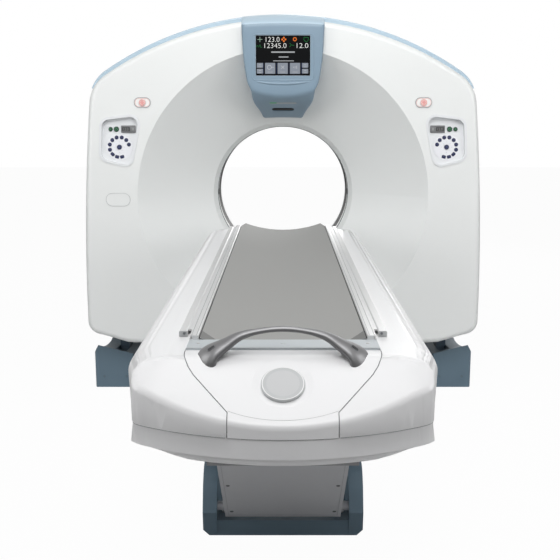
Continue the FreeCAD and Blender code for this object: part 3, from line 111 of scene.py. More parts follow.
# ---------------------------------------------------------------- finishes

LAY_STRETCH = 60.0  # how many times longer a brushed line is than wide


class Lay(Enum):
    """Direction of a brushed or drawn surface's fine lines."""

    ACROSS = (1.0, LAY_STRETCH, LAY_STRETCH)
    ALONG = (LAY_STRETCH, 1.0, LAY_STRETCH)
    ROUND = (LAY_STRETCH, 1.0, LAY_STRETCH + 0.0001)


@dataclass(frozen=True)
class Finish:
    """Base of every finish: a principled surface with a fine relief.

    Attributes:
        label: plain name of the material.
        colour: sRGB hex value.
        roughness: typical roughness of the surface.
        metallic: one for bare metal.
        relief_mm: size of the relief's grains.
        relief_depth_mm: height of the relief.
        drift: how much the colour drifts over the surface, as a share.
        coat: share of clear coat.
        specular: level of the plain reflection, a half on most surfaces.
    """

    label: str
    colour: str
    roughness: float = 0.4
    metallic: float = 0.0
    relief_mm: float = 2.0
    relief_depth_mm: float = 0.03
    drift: float = 0.02
    coat: float = 0.0
    specular: float = 0.5

    def material(self) -> bpy.types.Material:
        """Build the material, or give back the one already built."""
        known = bpy.data.materials.get(self.label)
        if known:
            return known
        made = bpy.data.materials.new(self.label)
        made.use_nodes = True
        tree = made.node_tree
        shader = tree.nodes["Principled BSDF"]
        shader.inputs["Metallic"].default_value = self.metallic
        shader.inputs["Roughness"].default_value = self.roughness
        shader.inputs["Coat Weight"].default_value = self.coat
        shader.inputs["Specular IOR Level"].default_value = self.specular
        made.diffuse_color = linear(self.colour)
        place = add_node(tree, "ShaderNodeTexCoord")
        self.paint(tree, shader, place)
        return made

    def paint(self, tree: bpy.types.NodeTree, shader: bpy.types.Node, place: bpy.types.Node) -> None:
        """Add drift of colour and roughness, and the relief.

        Args:
            tree: the material's node tree.
            shader: the principled shader.
            place: the texture coordinate node.
        """
        where = place.outputs["Object"]
        clouds = add_node(tree, "ShaderNodeTexNoise", {"Scale": 3.5, "Detail": 3.0}, {"Vector": where})
        base = linear(self.colour)
        low = tuple(c * (1 - self.drift) for c in base[:3]) + (1.0,)
        tone = add_node(tree, "ShaderNodeMix", {"data_type": "RGBA", 6: low, 7: base},
                        {0: clouds.outputs["Fac"]})
        tree.links.new(tone.outputs[2], shader.inputs["Base Color"])
        gloss = add_node(tree, "ShaderNodeMapRange", {"To Min": self.roughness * 0.92, "To Max": self.roughness * 1.08},
                         {"Value": clouds.outputs["Fac"]})
        tree.links.new(gloss.outputs["Result"], shader.inputs["Roughness"])
        self.relief(tree, shader, where)

    def relief(self, tree: bpy.types.NodeTree, shader: bpy.types.Node, where: bpy.types.NodeSocket) -> None:
        """Add the fine grain of the surface as a bump."""
        grain = add_node(tree, "ShaderNodeTexNoise", {"Scale": 1000 / self.relief_mm, "Detail": 2.0},
                         {"Vector": where})
        self.raise_relief(tree, shader, grain, self.relief_depth_mm * MM)

    @staticmethod
    def raise_relief(tree: bpy.types.NodeTree, shader: bpy.types.Node, pattern: bpy.types.Node, depth: float,
                     strength: float = 1.0) -> None:
        """Feed a pattern to the shader as a bump of a given depth in metres."""
        bump = add_node(tree, "ShaderNodeBump", {"Strength": strength, "Distance": depth},
                        {"Height": pattern.outputs["Fac"]})
        tree.links.new(bump.outputs["Normal"], shader.inputs["Normal"])


@dataclass(frozen=True)
class SprayedEnamel(Finish):
    """Moulded polyurethane panel under sprayed enamel: even colour, soft gloss, faint orange peel."""

    roughness: float = 0.36
    relief_mm: float = 3.0
    relief_depth_mm: float = 0.02
    drift: float = 0.015
    coat: float = 0.08


@dataclass(frozen=True)
class PowderCoat(Finish):
    """Baked powder on steel or cast metal: a tight pebbled skin that breaks up the highlights."""

    roughness: float = 0.5
    relief_mm: float = 2.4
    relief_depth_mm: float = 0.12
    drift: float = 0.05


@dataclass(frozen=True)
class MouldedABS(Finish):
    """Injection-moulded ABS with a spark-eroded grain: matte, fine and even."""

    roughness: float = 0.46
    relief_mm: float = 1.2
    relief_depth_mm: float = 0.05
    drift: float = 0.02


@dataclass(frozen=True)
class SiliconeRubber(Finish):
    """Moulded silicone: dull skin with a slight bloom."""

    roughness: float = 0.62
    relief_mm: float = 0.8
    relief_depth_mm: float = 0.04
    drift: float = 0.08


@dataclass(frozen=True)
class BrushedMetal(Finish):
    """Bare metal with the fine lines of a belt: highlights stretch across the lines."""

    roughness: float = 0.3
    metallic: float = 1.0
    drift: float = 0.06
    lay: Lay = Lay.ALONG
    line_mm: float = 0.8
    relief_depth_mm: float = 0.02

    def relief(self, tree: bpy.types.NodeTree, shader: bpy.types.Node, where: bpy.types.NodeSocket) -> None:
        """Add the brushed lines, drawn a little coarser than real so that they show."""
        squash = add_node(tree, "ShaderNodeMapping", {"Scale": self.lay.value}, {"Vector": where})
        lines = add_node(tree, "ShaderNodeTexNoise", {"Scale": 1000 / self.line_mm / LAY_STRETCH, "Detail": 3.0},
                         {"Vector": squash.outputs["Vector"]})
        self.raise_relief(tree, shader, lines, self.relief_depth_mm * MM)


@dataclass(frozen=True)
class CastMetal(Finish):
    """Sand-cast iron or aluminium under primer: coarse skin, uneven tone."""

    roughness: float = 0.6
    relief_mm: float = 4.0
    relief_depth_mm: float = 0.3
    drift: float = 0.12


@dataclass(frozen=True)
class CarbonLaminate(Finish):
    """Carbon laminate under satin resin: twill cells that catch the light in two directions."""

    roughness: float = 0.7
    drift: float = 0.04
    weave_mm: float = 9.0
    specular: float = 0.2

    def relief(self, tree: bpy.types.NodeTree, shader: bpy.types.Node, where: bpy.types.NodeSocket) -> None:
        """Add the twill, drawn about three times as coarse as real so that it shows."""
        turned = add_node(tree, "ShaderNodeMapping", {"Rotation": (0.0, 0.0, math.radians(45))}, {"Vector": where})
        twill = add_node(tree, "ShaderNodeTexWave", {"Scale": 1000 / self.weave_mm / 6.283, "Distortion": 0.0},
                         {"Vector": turned.outputs["Vector"]})
        self.raise_relief(tree, shader, twill, 0.00003, 0.5)


@dataclass(frozen=True)
class DisplayGlass(Finish):
    """Cover glass over a dark display: black, very smooth."""

    roughness: float = 0.12
    drift: float = 0.0
    relief_depth_mm: float = 0.0
    specular: float = 0.08


@dataclass(frozen=True)
class LitPrint(Finish):
    """Lit part of a display or lamp: its own light at the level of a white sheet."""

    glow: float = 0.85
    roughness: float = 0.5
    drift: float = 0.0
    specular: float = 0.1

    def paint(self, tree: bpy.types.NodeTree, shader: bpy.types.Node, place: bpy.types.Node) -> None:
        """Give the shader its colour and its own light."""
        shade = linear(self.colour)
        shader.inputs["Base Color"].default_value = tuple(part * 0.15 for part in shade[:3]) + (1.0,)
        shader.inputs["Emission Color"].default_value = shade
        shader.inputs["Emission Strength"].default_value = self.glow


WHITE_ENAMEL = SprayedEnamel("white_enamel", "E9EBEA")
TABLE_ENAMEL = SprayedEnamel("table_white_enamel", "E9E9EA", roughness=0.3)
BLUE_ENAMEL = SprayedEnamel("pale_blue_enamel", "B3C8D6")
HOUSING_ENAMEL = SprayedEnamel("grey_blue_enamel", "7E94A5", roughness=0.42)
HOUSING_SHADE = SprayedEnamel("grey_blue_step", "7C94A6", roughness=0.5)
HATCH_LINE = MouldedABS("groove_grey", "B9BCBD", roughness=0.6)
FINE_LINE = MouldedABS("joint_grey", "C2C3C4", roughness=0.6)
OUTLINE_GREY = MouldedABS("outline_grey", "A8A9AB", roughness=0.5)
BASE_POWDER = PowderCoat("slate_blue_powder", "637886")
BASE_SHADE = PowderCoat("slate_blue_shade", "3C4C57")
FRAME_POWDER = PowderCoat("dark_slate_powder", "4E5E6C")
ARM_POWDER = PowderCoat("pale_grey_powder", "C4C5C8", relief_depth_mm=0.06)
# painted shade along the fold of the arm's cover
ARM_SHADE = PowderCoat("grey_fold_shade", "9A9B9E", relief_depth_mm=0.04)
SEAM_GREY = SiliconeRubber("seam_grey", "6E7072", roughness=0.7)
# painted shade: grey for the line in the shell's crease over the skirt
CREASE_SHADE = SiliconeRubber("crease_painted_shade", "96989A", roughness=0.7)
# painted shade: darker laminate for the thin sheets on the pan's foot corners
PAN_CORNER_SHADE = CarbonLaminate("laminate_painted_shade", "6C6C6B", roughness=0.5)
RAIL_CAP = MouldedABS("rail_cap_grey", "A5A7A8", roughness=0.4)
TUB_POWDER = PowderCoat("tub_grey_powder", "9A9A9C", relief_depth_mm=0.06)
FRAME_CAST = CastMetal("primed_casting", "8C9194")
PANEL_ABS = MouldedABS("pale_abs", "E4E6E8")
BEZEL_ABS = MouldedABS("white_abs", "F1F0EE", roughness=0.38)
RIM_ABS = MouldedABS("rim_abs", "B7C3CC", roughness=0.4)
SILVER_ABS = MouldedABS("silver_grey_abs", "B9BBBC", roughness=0.36)
ROUNDEL_FACE = MouldedABS("roundel_face", "C0C1C2", roughness=0.34)
RIM_SILVER = MouldedABS("rim_silver", "F0F0F0", roughness=0.25)
STRIP_ABS = MouldedABS("pale_grey_green_abs", "AFB5B8", roughness=0.4)
SHEET_PC = MouldedABS("keypad_foil", "E9EAEE", roughness=0.34)
PAD_MARK = MouldedABS("pad_print", "B4B8C4")
PAD_EDGE = MouldedABS("pad_edge", "C6C9CE")
KEY_BLUE = SiliconeRubber("navy_silicone", "161E45", roughness=0.5)
KEY_GREEN = SiliconeRubber("green_silicone", "0B4025", roughness=0.5)
GREEN_MARK = MouldedABS("green_print", "5E9A78")
BLUE_MARK = MouldedABS("blue_print", "5A6796")
STOP_RED = MouldedABS("stop_red_abs", "E58B85", roughness=0.3)
STOP_PALE = MouldedABS("stop_pale_abs", "F3DCD9", roughness=0.3)
STOP_BLUSH = MouldedABS("stop_blush_line", "E6BCB9", roughness=0.4)
RUBBER = SiliconeRubber("black_rubber", "1B1C1D", roughness=0.7)
DARK_ABS = MouldedABS("black_abs", "101112", roughness=0.5)
DARK_PERFORATION = MouldedABS("perforated_black", "1A1B1D", roughness=0.5)
GREY_SEAL = SiliconeRubber("grey_seal", "6A6D70", roughness=0.6)
SCREEN_GLASS = DisplayGlass("display_glass", "0B0C0E")
READOUT_GLASS = DisplayGlass("readout_glass", "4D5050", roughness=0.2)
READOUT_FACE = MouldedABS("readout_face", "6F7072", roughness=0.4)
READOUT_CELL = MouldedABS("readout_cell", "3A3B3C", roughness=0.35)
READOUT_INK = MouldedABS("readout_ink", "8C8E8C", roughness=0.5)
STEEL = BrushedMetal("brushed_steel", "B4B4B4", roughness=0.32)
SATIN_STEEL = BrushedMetal("satin_stainless", "747475", roughness=0.40, lay=Lay.ACROSS)
SATIN_DARK = BrushedMetal("dark_satin_steel", "6C6E70", roughness=0.4)
ALUMINIUM = BrushedMetal("anodised_aluminium", "D0D0D0", roughness=0.42)
LAMINATE = CarbonLaminate("cradle_laminate", "9B9B99")
COPPER = BrushedMetal("copper_track", "B8744A", roughness=0.28, lay=Lay.ROUND)
LENS = MouldedABS("lamp_lens", "8C979D", roughness=0.3)
LAMP_SILVER = MouldedABS("lamp_silver", "A9ADAF", roughness=0.3)
WHITE_LIT = LitPrint("white_pixels", "E4E4E2", glow=0.95)
WHITE_DIM_LIT = LitPrint("pale_pixels", "C9CDD2", glow=0.7)
GREY_LIT = LitPrint("grey_pixels", "A9ACAF", glow=0.8)
KEY_LIT = LitPrint("key_pixels", "868C96", glow=0.9)
NAVY_LIT = LitPrint("navy_pixels", "1E2A4A", glow=0.9)
GREEN_LIT = LitPrint("green_pixels", "1F7A3C", glow=0.9)
PALE_GREEN_LIT = LitPrint("pale_green_pixels", "8FA898", glow=0.8)
ORANGE_LIT = LitPrint("orange_pixels", "D8702E", glow=0.95)
LAMP_GREEN = LitPrint("green_lamp", "4E9B62", glow=0.8)

WORN: dict[Finish, str] = {
    WHITE_ENAMEL: "front_cover rear_cover throat_liner_front throat_liner_rear access_hatch",
    BLUE_ENAMEL: "top_cover",
    GREY_SEAL: "seal_ring",
    DARK_ABS: "scan_window intercom_slot brush_block slip_ring",
    HOUSING_ENAMEL: "display_housing",
    SCREEN_GLASS: "display_screen",
    LENS: "light_strip",
    PANEL_ABS: "control_panel_right control_panel_left",
    SHEET_PC: "keypads",
    READOUT_GLASS: "readouts",
    STOP_PALE: "stop_button_right stop_button_left",
    BEZEL_ABS: "stop_bezels",
    KEY_GREEN: "start_key_right start_key_left option_key_right option_key_left",
    KEY_BLUE: "centre_key_right centre_key_left",
    FRAME_POWDER: "gantry_base_frame",
    STEEL: "tilt_bushings bearing_outer_ring drive_pulley bearing_inner_ring xray_tube counterweight upper_pins",
    FRAME_CAST: "tilt_drive tilt_frame drive_motor high_voltage_tank lift_gearmotor rear_swing_arm carriage_frame",
    BASE_POWDER: "base_pods table_base floor_duct",
    RUBBER: "drive_belt",
    ALUMINIUM: "rotor_disc collimator detector_arc heat_exchanger guide_rails side_rails",
    ARM_POWDER: "front_swing_arm",
    TUB_POWDER: "carriage_tub",
    TABLE_ENAMEL: "table_shell tail_cover",
    LAMINATE: "cradle_pan",
    STRIP_ABS: "end_strip",
    SATIN_STEEL: "cradle_handle",
    SILVER_ABS: "roundel",
}


# ---------------------------------------------------------------- modelling helpers

def clear_selection() -> None:
    """Deselect every object."""
    bpy.ops.object.select_all(action="DESELECT")


def pick(piece: bpy.types.Object) -> None:
    """Make a piece the only selected one and the active one."""
    clear_selection()
    piece.select_set(True)
    bpy.context.view_layer.objects.active = piece


def linked(name: str, data: bpy.types.ID) -> bpy.types.Object:
    """Put a new object with its data into the scene."""
    made = bpy.data.objects.new(name, data)
    bpy.context.scene.collection.objects.link(made)
    return made


def middle_of(node: str) -> Vector:
    """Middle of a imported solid's box."""
    low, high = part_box(node)
    return (Vector(low) + Vector(high)) / 2


def wear(piece: bpy.types.Object, finish: Finish) -> None:
    """Give a piece one finish all over."""
    piece.data.materials.clear()
    piece.data.materials.append(finish.material())


def settle(piece: bpy.types.Object, name: str, finish: Finish, body: str, slot: str,
           smooth_deg: float = 35.0) -> bpy.types.Object:
    """Name, dress and place a finished piece.

    Args:
        piece: the mesh object that was modelled.
        name: plain name of the piece.
        finish: its material.
        body: the moving body that carries it.
        slot: the record's material slot it belongs to; not used.
        smooth_deg: edges flatter than this are shaded smooth.

    Returns:
        The piece, at the origin with its place in its mesh.
    """
    piece.name = name
    piece.data.name = name
    pick(piece)
    bpy.ops.object.transform_apply(location=True, rotation=True, scale=True)
    bpy.ops.object.shade_smooth_by_angle(angle=math.radians(smooth_deg))
    wear(piece, finish)
    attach(piece, body)
    LOG.info("piece %s rides on %s", name, body)
    return piece


def apply_modifier(piece: bpy.types.Object, kind: str, **settings: object) -> None:
    """Add one modifier with its settings and apply it."""
    pick(piece)
    modifier = piece.modifiers.new(kind.title(), kind)
    for key, value in settings.items():
        setattr(modifier, key, value)
    bpy.ops.object.modifier_apply(modifier=modifier.name)


def block(size: Point, at: Point = (0.0, 0.0, 0.0), soft: float = 0.0) -> bpy.types.Object:
    """Model a block.

    Args:
        size: extents in metres.
        at: its middle.
        soft: width of its softened edges.

    Returns:
        The block's object.
    """
    clear_selection()
    bpy.ops.mesh.primitive_cube_add(size=1.0, location=at)
    piece = bpy.context.object
    piece.scale = size
    bpy.ops.object.transform_apply(location=False, rotation=False, scale=True)
    if soft:
        apply_modifier(piece, "BEVEL", width=soft, segments=2, limit_method="ANGLE")
    return piece


def faced(piece: bpy.types.Object, at: Point, facing: Point) -> bpy.types.Object:
    """Move a round piece, modelled face up round the origin, to a place and turn its face."""
    piece.matrix_world = Matrix.Translation(at) @ Vector(facing).to_track_quat("Z", "Y").to_matrix().to_4x4()
    return piece


def turned_disc(radius: float, depth: float, at: Point, facing: Point, crown: float = 0.0,
                sides: int = 48) -> bpy.types.Object:
    """Model a round disc whose front edge is softened and whose face may be crowned.

    Args:
        radius: in metres.
        depth: thickness in metres.
        at: middle of the disc.
        facing: direction of its front face.
        crown: how far the middle of the face stands up.
        sides: facets around.

    Returns:
        The disc's object.
    """
    clear_selection()
    bpy.ops.mesh.primitive_cylinder_add(vertices=sides, radius=radius, depth=depth, location=(0, 0, 0))
    piece = bpy.context.object
    bpy.ops.object.mode_set(mode="EDIT")
    bpy.ops.mesh.select_all(action="DESELECT")
    mesh = bmesh.from_edit_mesh(piece.data)
    for face in mesh.faces:
        face.select = face.normal.z > 0.9
    bmesh.update_edit_mesh(piece.data)
    edge = min(radius * 0.12, depth * 0.4)  # width of the softened edge
    bpy.ops.mesh.inset(thickness=edge, depth=0.0)
    for _ in range(3):
        bpy.ops.transform.translate(value=(0, 0, crown * 0.3))
        bpy.ops.mesh.inset(thickness=radius * 0.25, depth=0.0)
    bpy.ops.object.mode_set(mode="OBJECT")
    mesh = bmesh.new()
    mesh.from_mesh(piece.data)
    outer = [v for v in mesh.verts if v.co.z > depth * 0.49 and v.co.xy.length > radius * 0.999]
    for vert in outer:
        vert.co.z -= edge * 0.7
    mesh.to_mesh(piece.data)
    mesh.free()
    return faced(piece, at, facing)


def ring(major: float, minor: float, at: Point, facing: Point, sides: int = 64) -> bpy.types.Object:
    """Model a round bead or groove filler that runs in a circle."""
    clear_selection()
    bpy.ops.mesh.primitive_torus_add(major_radius=major, minor_radius=minor, major_segments=sides, minor_segments=10)
    return faced(bpy.context.object, at, facing)


def merge(pieces: Sequence[bpy.types.Object]) -> bpy.types.Object:
    """Join copies of a small shape into one mesh."""
    clear_selection()
    for piece in pieces:
        piece.select_set(True)
    bpy.context.view_layer.objects.active = pieces[0]
    bpy.ops.object.join()
    return bpy.context.object


def choose(piece: bpy.types.Object, test: Callable[[bmesh.types.BMFace], bool]) -> None:
    """Select, in edit mode, only the faces that pass a test."""
    bpy.ops.mesh.select_mode(type="FACE")
    bpy.ops.mesh.select_all(action="DESELECT")
    mesh = bmesh.from_edit_mesh(piece.data)
    for face in mesh.faces:
        face.select_set(test(face))
    bmesh.update_edit_mesh(piece.data)


def stood(piece: bpy.types.Object, at: Point, facing: Point, across: Point = (1.0, 0.0, 0.0),
          turn_deg: float = 0.0) -> bpy.types.Object:
    """Stand a piece, modelled with its face up, so that the face looks along a direction.

    Args:
        piece: the piece, modelled round the origin.
        at: where its middle goes.
        facing: direction of its face.
        across: direction of its own X, as near as the facing allows.
        turn_deg: turn about the facing.

    Returns:
        The same piece.
    """
    out = Vector(facing).normalized()
    side = (Vector(across) - out * out.dot(Vector(across))).normalized()
    basis = Matrix((side, out.cross(side), out)).transposed().to_4x4()
    piece.matrix_world = Matrix.Translation(at) @ basis @ Matrix.Rotation(math.radians(turn_deg), 4, "Z")
    return piece


def rounded_plate(width: float, height: float, depth: float, radius: float, soft: float = 0.0003,
                  steps: int = 6) -> bpy.types.Object:
    """Model a plate, face up, with round corners and a softened rim.

    Args:
        width: extent along X in metres.
        height: extent along Y.
        depth: thickness.
        radius: corner radius.
        soft: width of the softened rim.
        steps: facets round a corner.

    Returns:
        The plate's object, round the origin.
    """
    piece = block((width, height, depth))
    bpy.ops.object.mode_set(mode="EDIT")
    bpy.ops.mesh.select_mode(type="EDGE")
    bpy.ops.mesh.select_all(action="DESELECT")
    mesh = bmesh.from_edit_mesh(piece.data)
    for edge in mesh.edges:
        low, high = edge.verts
        edge.select_set(abs(low.co.z - high.co.z) > depth * 0.5)
    bmesh.update_edit_mesh(piece.data)
    bpy.ops.mesh.bevel(offset=min(radius, 0.4995 * min(width, height)), segments=steps, affect="EDGES")
    bpy.ops.object.mode_set(mode="OBJECT")
    if soft:
        apply_modifier(piece, "BEVEL", width=soft, segments=2, limit_method="ANGLE")
    return piece


def cap_screw(radius: float, depth: float) -> bpy.types.Object:
    """Model a cap screw's head, face up, with its socket."""
    clear_selection()
    bpy.ops.mesh.primitive_cylinder_add(vertices=18, radius=radius, depth=depth)
    piece = bpy.context.object
    bpy.ops.object.mode_set(mode="EDIT")
    choose(piece, lambda face: face.normal.z > 0.9)
    bpy.ops.mesh.inset(thickness=radius * 0.5)
    bpy.ops.mesh.extrude_region_move(TRANSFORM_OT_translate={"value": (0.0, 0.0, -depth * 0.55)})
    bpy.ops.object.mode_set(mode="OBJECT")
    apply_modifier(piece, "BEVEL", width=radius * 0.08, segments=1, limit_method="ANGLE")
    return piece


def spread(piece: bpy.types.Object, places: Sequence[Place]) -> bpy.types.Object:
    """Copy one small piece to each place and facing, and join the copies.

    Args:
        piece: the piece, modelled face up round the origin.
        places: middle and facing of each copy.

    Returns:
        The joined copies.
    """
    copies = []
    for at, facing in places:
        twin = linked(piece.name, piece.data.copy())
        across = (1.0, 0.0, 0.0) if abs(facing[0]) < 0.9 else (0.0, 1.0, 0.0)
        copies.append(stood(twin, at, facing, across))
    bpy.data.objects.remove(piece)
    return merge(copies)


def screws(name: str, radius: float, depth: float, places: Sequence[Place], finish: Finish, body: str) -> None:
    """Spread cap screws over places, as one piece.

    Args:
        name: plain name of the piece.
        radius: of each head.
        depth: of each head.
        places: middle and facing of each head.
        finish: their material.
        body: the moving body that carries them.
    """
    settle(spread(cap_screw(radius, depth), places), name, finish, body, "steel")


def circle(count: int, radius: float, y: float, facing: Point, first_deg: float = 0.0,
           rise: float = 0.0) -> list[Place]:
    """Places evenly round a line along the bore, with one facing.

    Args:
        count: how many places.
        radius: of their circle.
        y: where the circle lies along the bore.
        facing: direction that each faces.
        first_deg: turn of the first one.
        rise: how far the circle's middle is over the bore's.

    Returns:
        The places.
    """
    turns = [math.radians(first_deg + 360 / count * i) for i in range(count)]
    return [((radius * math.cos(turn), y, ISO_Z + rise + radius * math.sin(turn)), facing) for turn in turns]


def bead(points: Sequence[Point], radius: float, closed: bool = False, sides: int = 2,
         swell: Optional[Sequence[float]] = None) -> bpy.types.Object:
    """Model a fine round bead or line along points.

    Args:
        points: the places that it runs through.
        radius: its half thickness in metres.
        closed: whether its end meets its start.
        sides: fineness of its round section.
        swell: how many times the radius it is at each point.

    Returns:
        The bead as a mesh.
    """
    line = bpy.data.curves.new("bead", "CURVE")
    line.dimensions = "3D"
    spline = line.splines.new("POLY")
    spline.points.add(len(points) - 1)
    for number, (knot, place) in enumerate(zip(spline.points, points)):
        knot.co = (*place, 1.0)
        knot.radius = swell[number] if swell else 1.0
    spline.use_cyclic_u = closed
    line.bevel_depth = radius
    line.bevel_resolution = sides
    line.use_fill_caps = True
    piece = linked("bead", line)
    pick(piece)
    bpy.ops.object.convert(target="MESH")
    return bpy.context.object


def pill_points(width: float, height: float, at: Point, steps: int = 14) -> list[Point]:
    """Outline of an upright oval with straight sides, in the plane of the face."""
    radius = min(width, height) / 2
    points = []
    for side in (1, -1):
        for i in range(steps + 1):
            turn = math.pi * (i / steps - 0.5)
            across, up = radius * math.cos(turn) * side, radius * math.sin(turn) * side
            if width >= height:
                points.append((at[0] + across + side * (width / 2 - radius), at[1], at[2] + up))
            else:
                points.append((at[0] - up, at[1], at[2] + across + side * (height / 2 - radius)))
    return points


def printed(words: str, width: float, height: float, depth: float = 0.0002) -> bpy.types.Object:
    """Model plain figures as a thin mesh, face up, fitted to a width and height."""
    clear_selection()
    bpy.ops.object.text_add()
    piece = bpy.context.object
    piece.data.body = words
    piece.data.extrude = 0.05  # any depth will do, because the fit below sets it
    piece.data.offset = TEXT_THINNER
    piece.data.resolution_u = 4
    bpy.ops.object.convert(target="MESH")
    piece = bpy.context.object
    spots = [vert.co for vert in piece.data.vertices]
    low, high = (Vector([end(spot[i] for spot in spots) for i in range(3)]) for end in (min, max))
    size, middle = high - low, (high + low) / 2
    fit = Matrix.Diagonal((width / size.x, height / size.y, depth / size.z, 1.0))
    piece.data.transform(fit @ Matrix.Translation(-middle))
    return piece


def laid(points: Sequence[Point], node: str, lift: float = 0.0) -> list[Point]:
    """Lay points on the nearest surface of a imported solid.

    Args:
        points: places near the surface.
        node: the solid's name.
        lift: how far over the surface they end.

    Returns:
        The places on the surface.
    """
    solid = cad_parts[node]
    spots = []
    for place in points:
        found, spot, normal, _ = solid.closest_point_on_mesh(Vector(place))
        spots.append(tuple(spot + normal * lift) if found else tuple(place))
    return spots


def dropped(points: Sequence[Point], piece: bpy.types.Object, direction: Point, lift: float = 0.0) -> list[Point]:
    """Send points along a direction until they meet a piece.

    Args:
        points: places to start from.
        piece: the piece.
        direction: the way they go.
        lift: how far back from the surface they end.

    Returns:
        The places on the surface; a point that meets nothing is left out.
    """
    bpy.context.view_layer.update()
    way = Vector(direction).normalized()
    spots = []
    for place in points:
        found, spot, _, _ = piece.ray_cast(Vector(place), way)
        if found:
            spots.append(tuple(spot - way * lift))
    return spots


def ease(share: float) -> float:
    """Smooth step from nought to one."""
    share = min(1.0, max(0.0, share))
    return share * share * (3 - 2 * share)


def reworked(node: str, cuts: Sequence[tuple[Point, Point]], move: Callable[[Vector], Vector]) -> bpy.types.Object:
    """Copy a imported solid, cut its faces along planes, and move its points.

    Args:
        node: the solid's name.
        cuts: a place on each plane and the plane's direction.
        move: gives each point its new place.

    Returns:
        The copy, which stands for the solid.
    """
    piece = linked(node + "_formed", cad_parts[node].data.copy())
    pick(piece)
    bpy.ops.object.mode_set(mode="EDIT")
    bpy.ops.mesh.select_all(action="SELECT")
    bpy.ops.mesh.remove_doubles(threshold=MERGE_GAP)
    for place, normal in cuts:
        bpy.ops.mesh.select_all(action="SELECT")
        bpy.ops.mesh.bisect(plane_co=place, plane_no=normal)
    bpy.ops.object.mode_set(mode="OBJECT")
    for vert in piece.data.vertices:
        vert.co = move(vert.co.copy())
    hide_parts(node)
    return piece


def lofted(rings: Sequence[Sequence[Point]]) -> bpy.types.Object:
    """Model a closed skin over rings of points, with a face at each end.

    Args:
        rings: rings with the same number of points.

    Returns:
        The piece.
    """
    count = len(rings[0])
    faces = [tuple(range(count)), tuple(reversed(range(count * (len(rings) - 1), count * len(rings))))]
    for row in range(len(rings) - 1):
        for i in range(count):
            j = (i + 1) % count
            faces.append((row * count + i, (row + 1) * count + i, (row + 1) * count + j, row * count + j))
    mesh = bpy.data.meshes.new("skin")
    mesh.from_pydata([spot for row in rings for spot in row], [], faces)
    piece = linked("skin", mesh)
    pick(piece)
    bpy.ops.object.mode_set(mode="EDIT")
    bpy.ops.mesh.select_all(action="SELECT")
    bpy.ops.mesh.normals_make_consistent(inside=False)
    bpy.ops.object.mode_set(mode="OBJECT")
    return piece


def smoothed(knots: Sequence[Sequence[float]], steps: int) -> list[list[float]]:
    """Rows of values on the smooth curve that runs through every knot.

    Args:
        knots: rows with the same number of values.
        steps: how many rows stand for the way from one knot to the next.

    Returns:
        The rows, from the first knot to the last.
    """
    track = []
    for number in range(len(knots) - 1):
        near = [knots[min(len(knots) - 1, max(0, number + step))] for step in (-1, 0, 1, 2)]
        for step in range(steps):
            t = step / steps
            track.append([0.5 * (2 * b + (c - a) * t + (2 * a - 5 * b + 4 * c - d) * t * t
                                 + (3 * b - a - 3 * c + d) * t ** 3) for a, b, c, d in zip(*near)])
    return track + [list(knots[-1])]


def arc_through(start: Point, middle: Point, end: Point, steps: int = 24) -> list[Point]:
    """Points of the circle that runs through three places."""
    a, b, c = Vector(start), Vector(middle), Vector(end)
    u, v = b - a, c - a
    w = u.cross(v)
    centre = a + (v.length_squared * w.cross(u) + u.length_squared * v.cross(w)) / (2 * w.length_squared)
    axis = w.normalized()
    from_a, from_c = a - centre, c - centre
    sweep = from_a.angle(from_c)
    if from_a.cross(from_c).dot(axis) < 0:
        sweep = 2 * math.pi - sweep
    points = [centre + Matrix.Rotation(sweep * i / steps, 3, axis) @ from_a for i in range(steps + 1)]
    return [tuple(point) for point in points]


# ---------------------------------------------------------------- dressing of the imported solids

class PackedSolids:
    """Finishes of the solids that keep their own shape."""

    def dress(self) -> None:
        """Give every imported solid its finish."""
        for finish, names in WORN.items():
            for name in names.split():
                wear(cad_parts[name], finish)
                LOG.info("solid %s wears %s", name, finish.label)


# ---------------------------------------------------------------- display

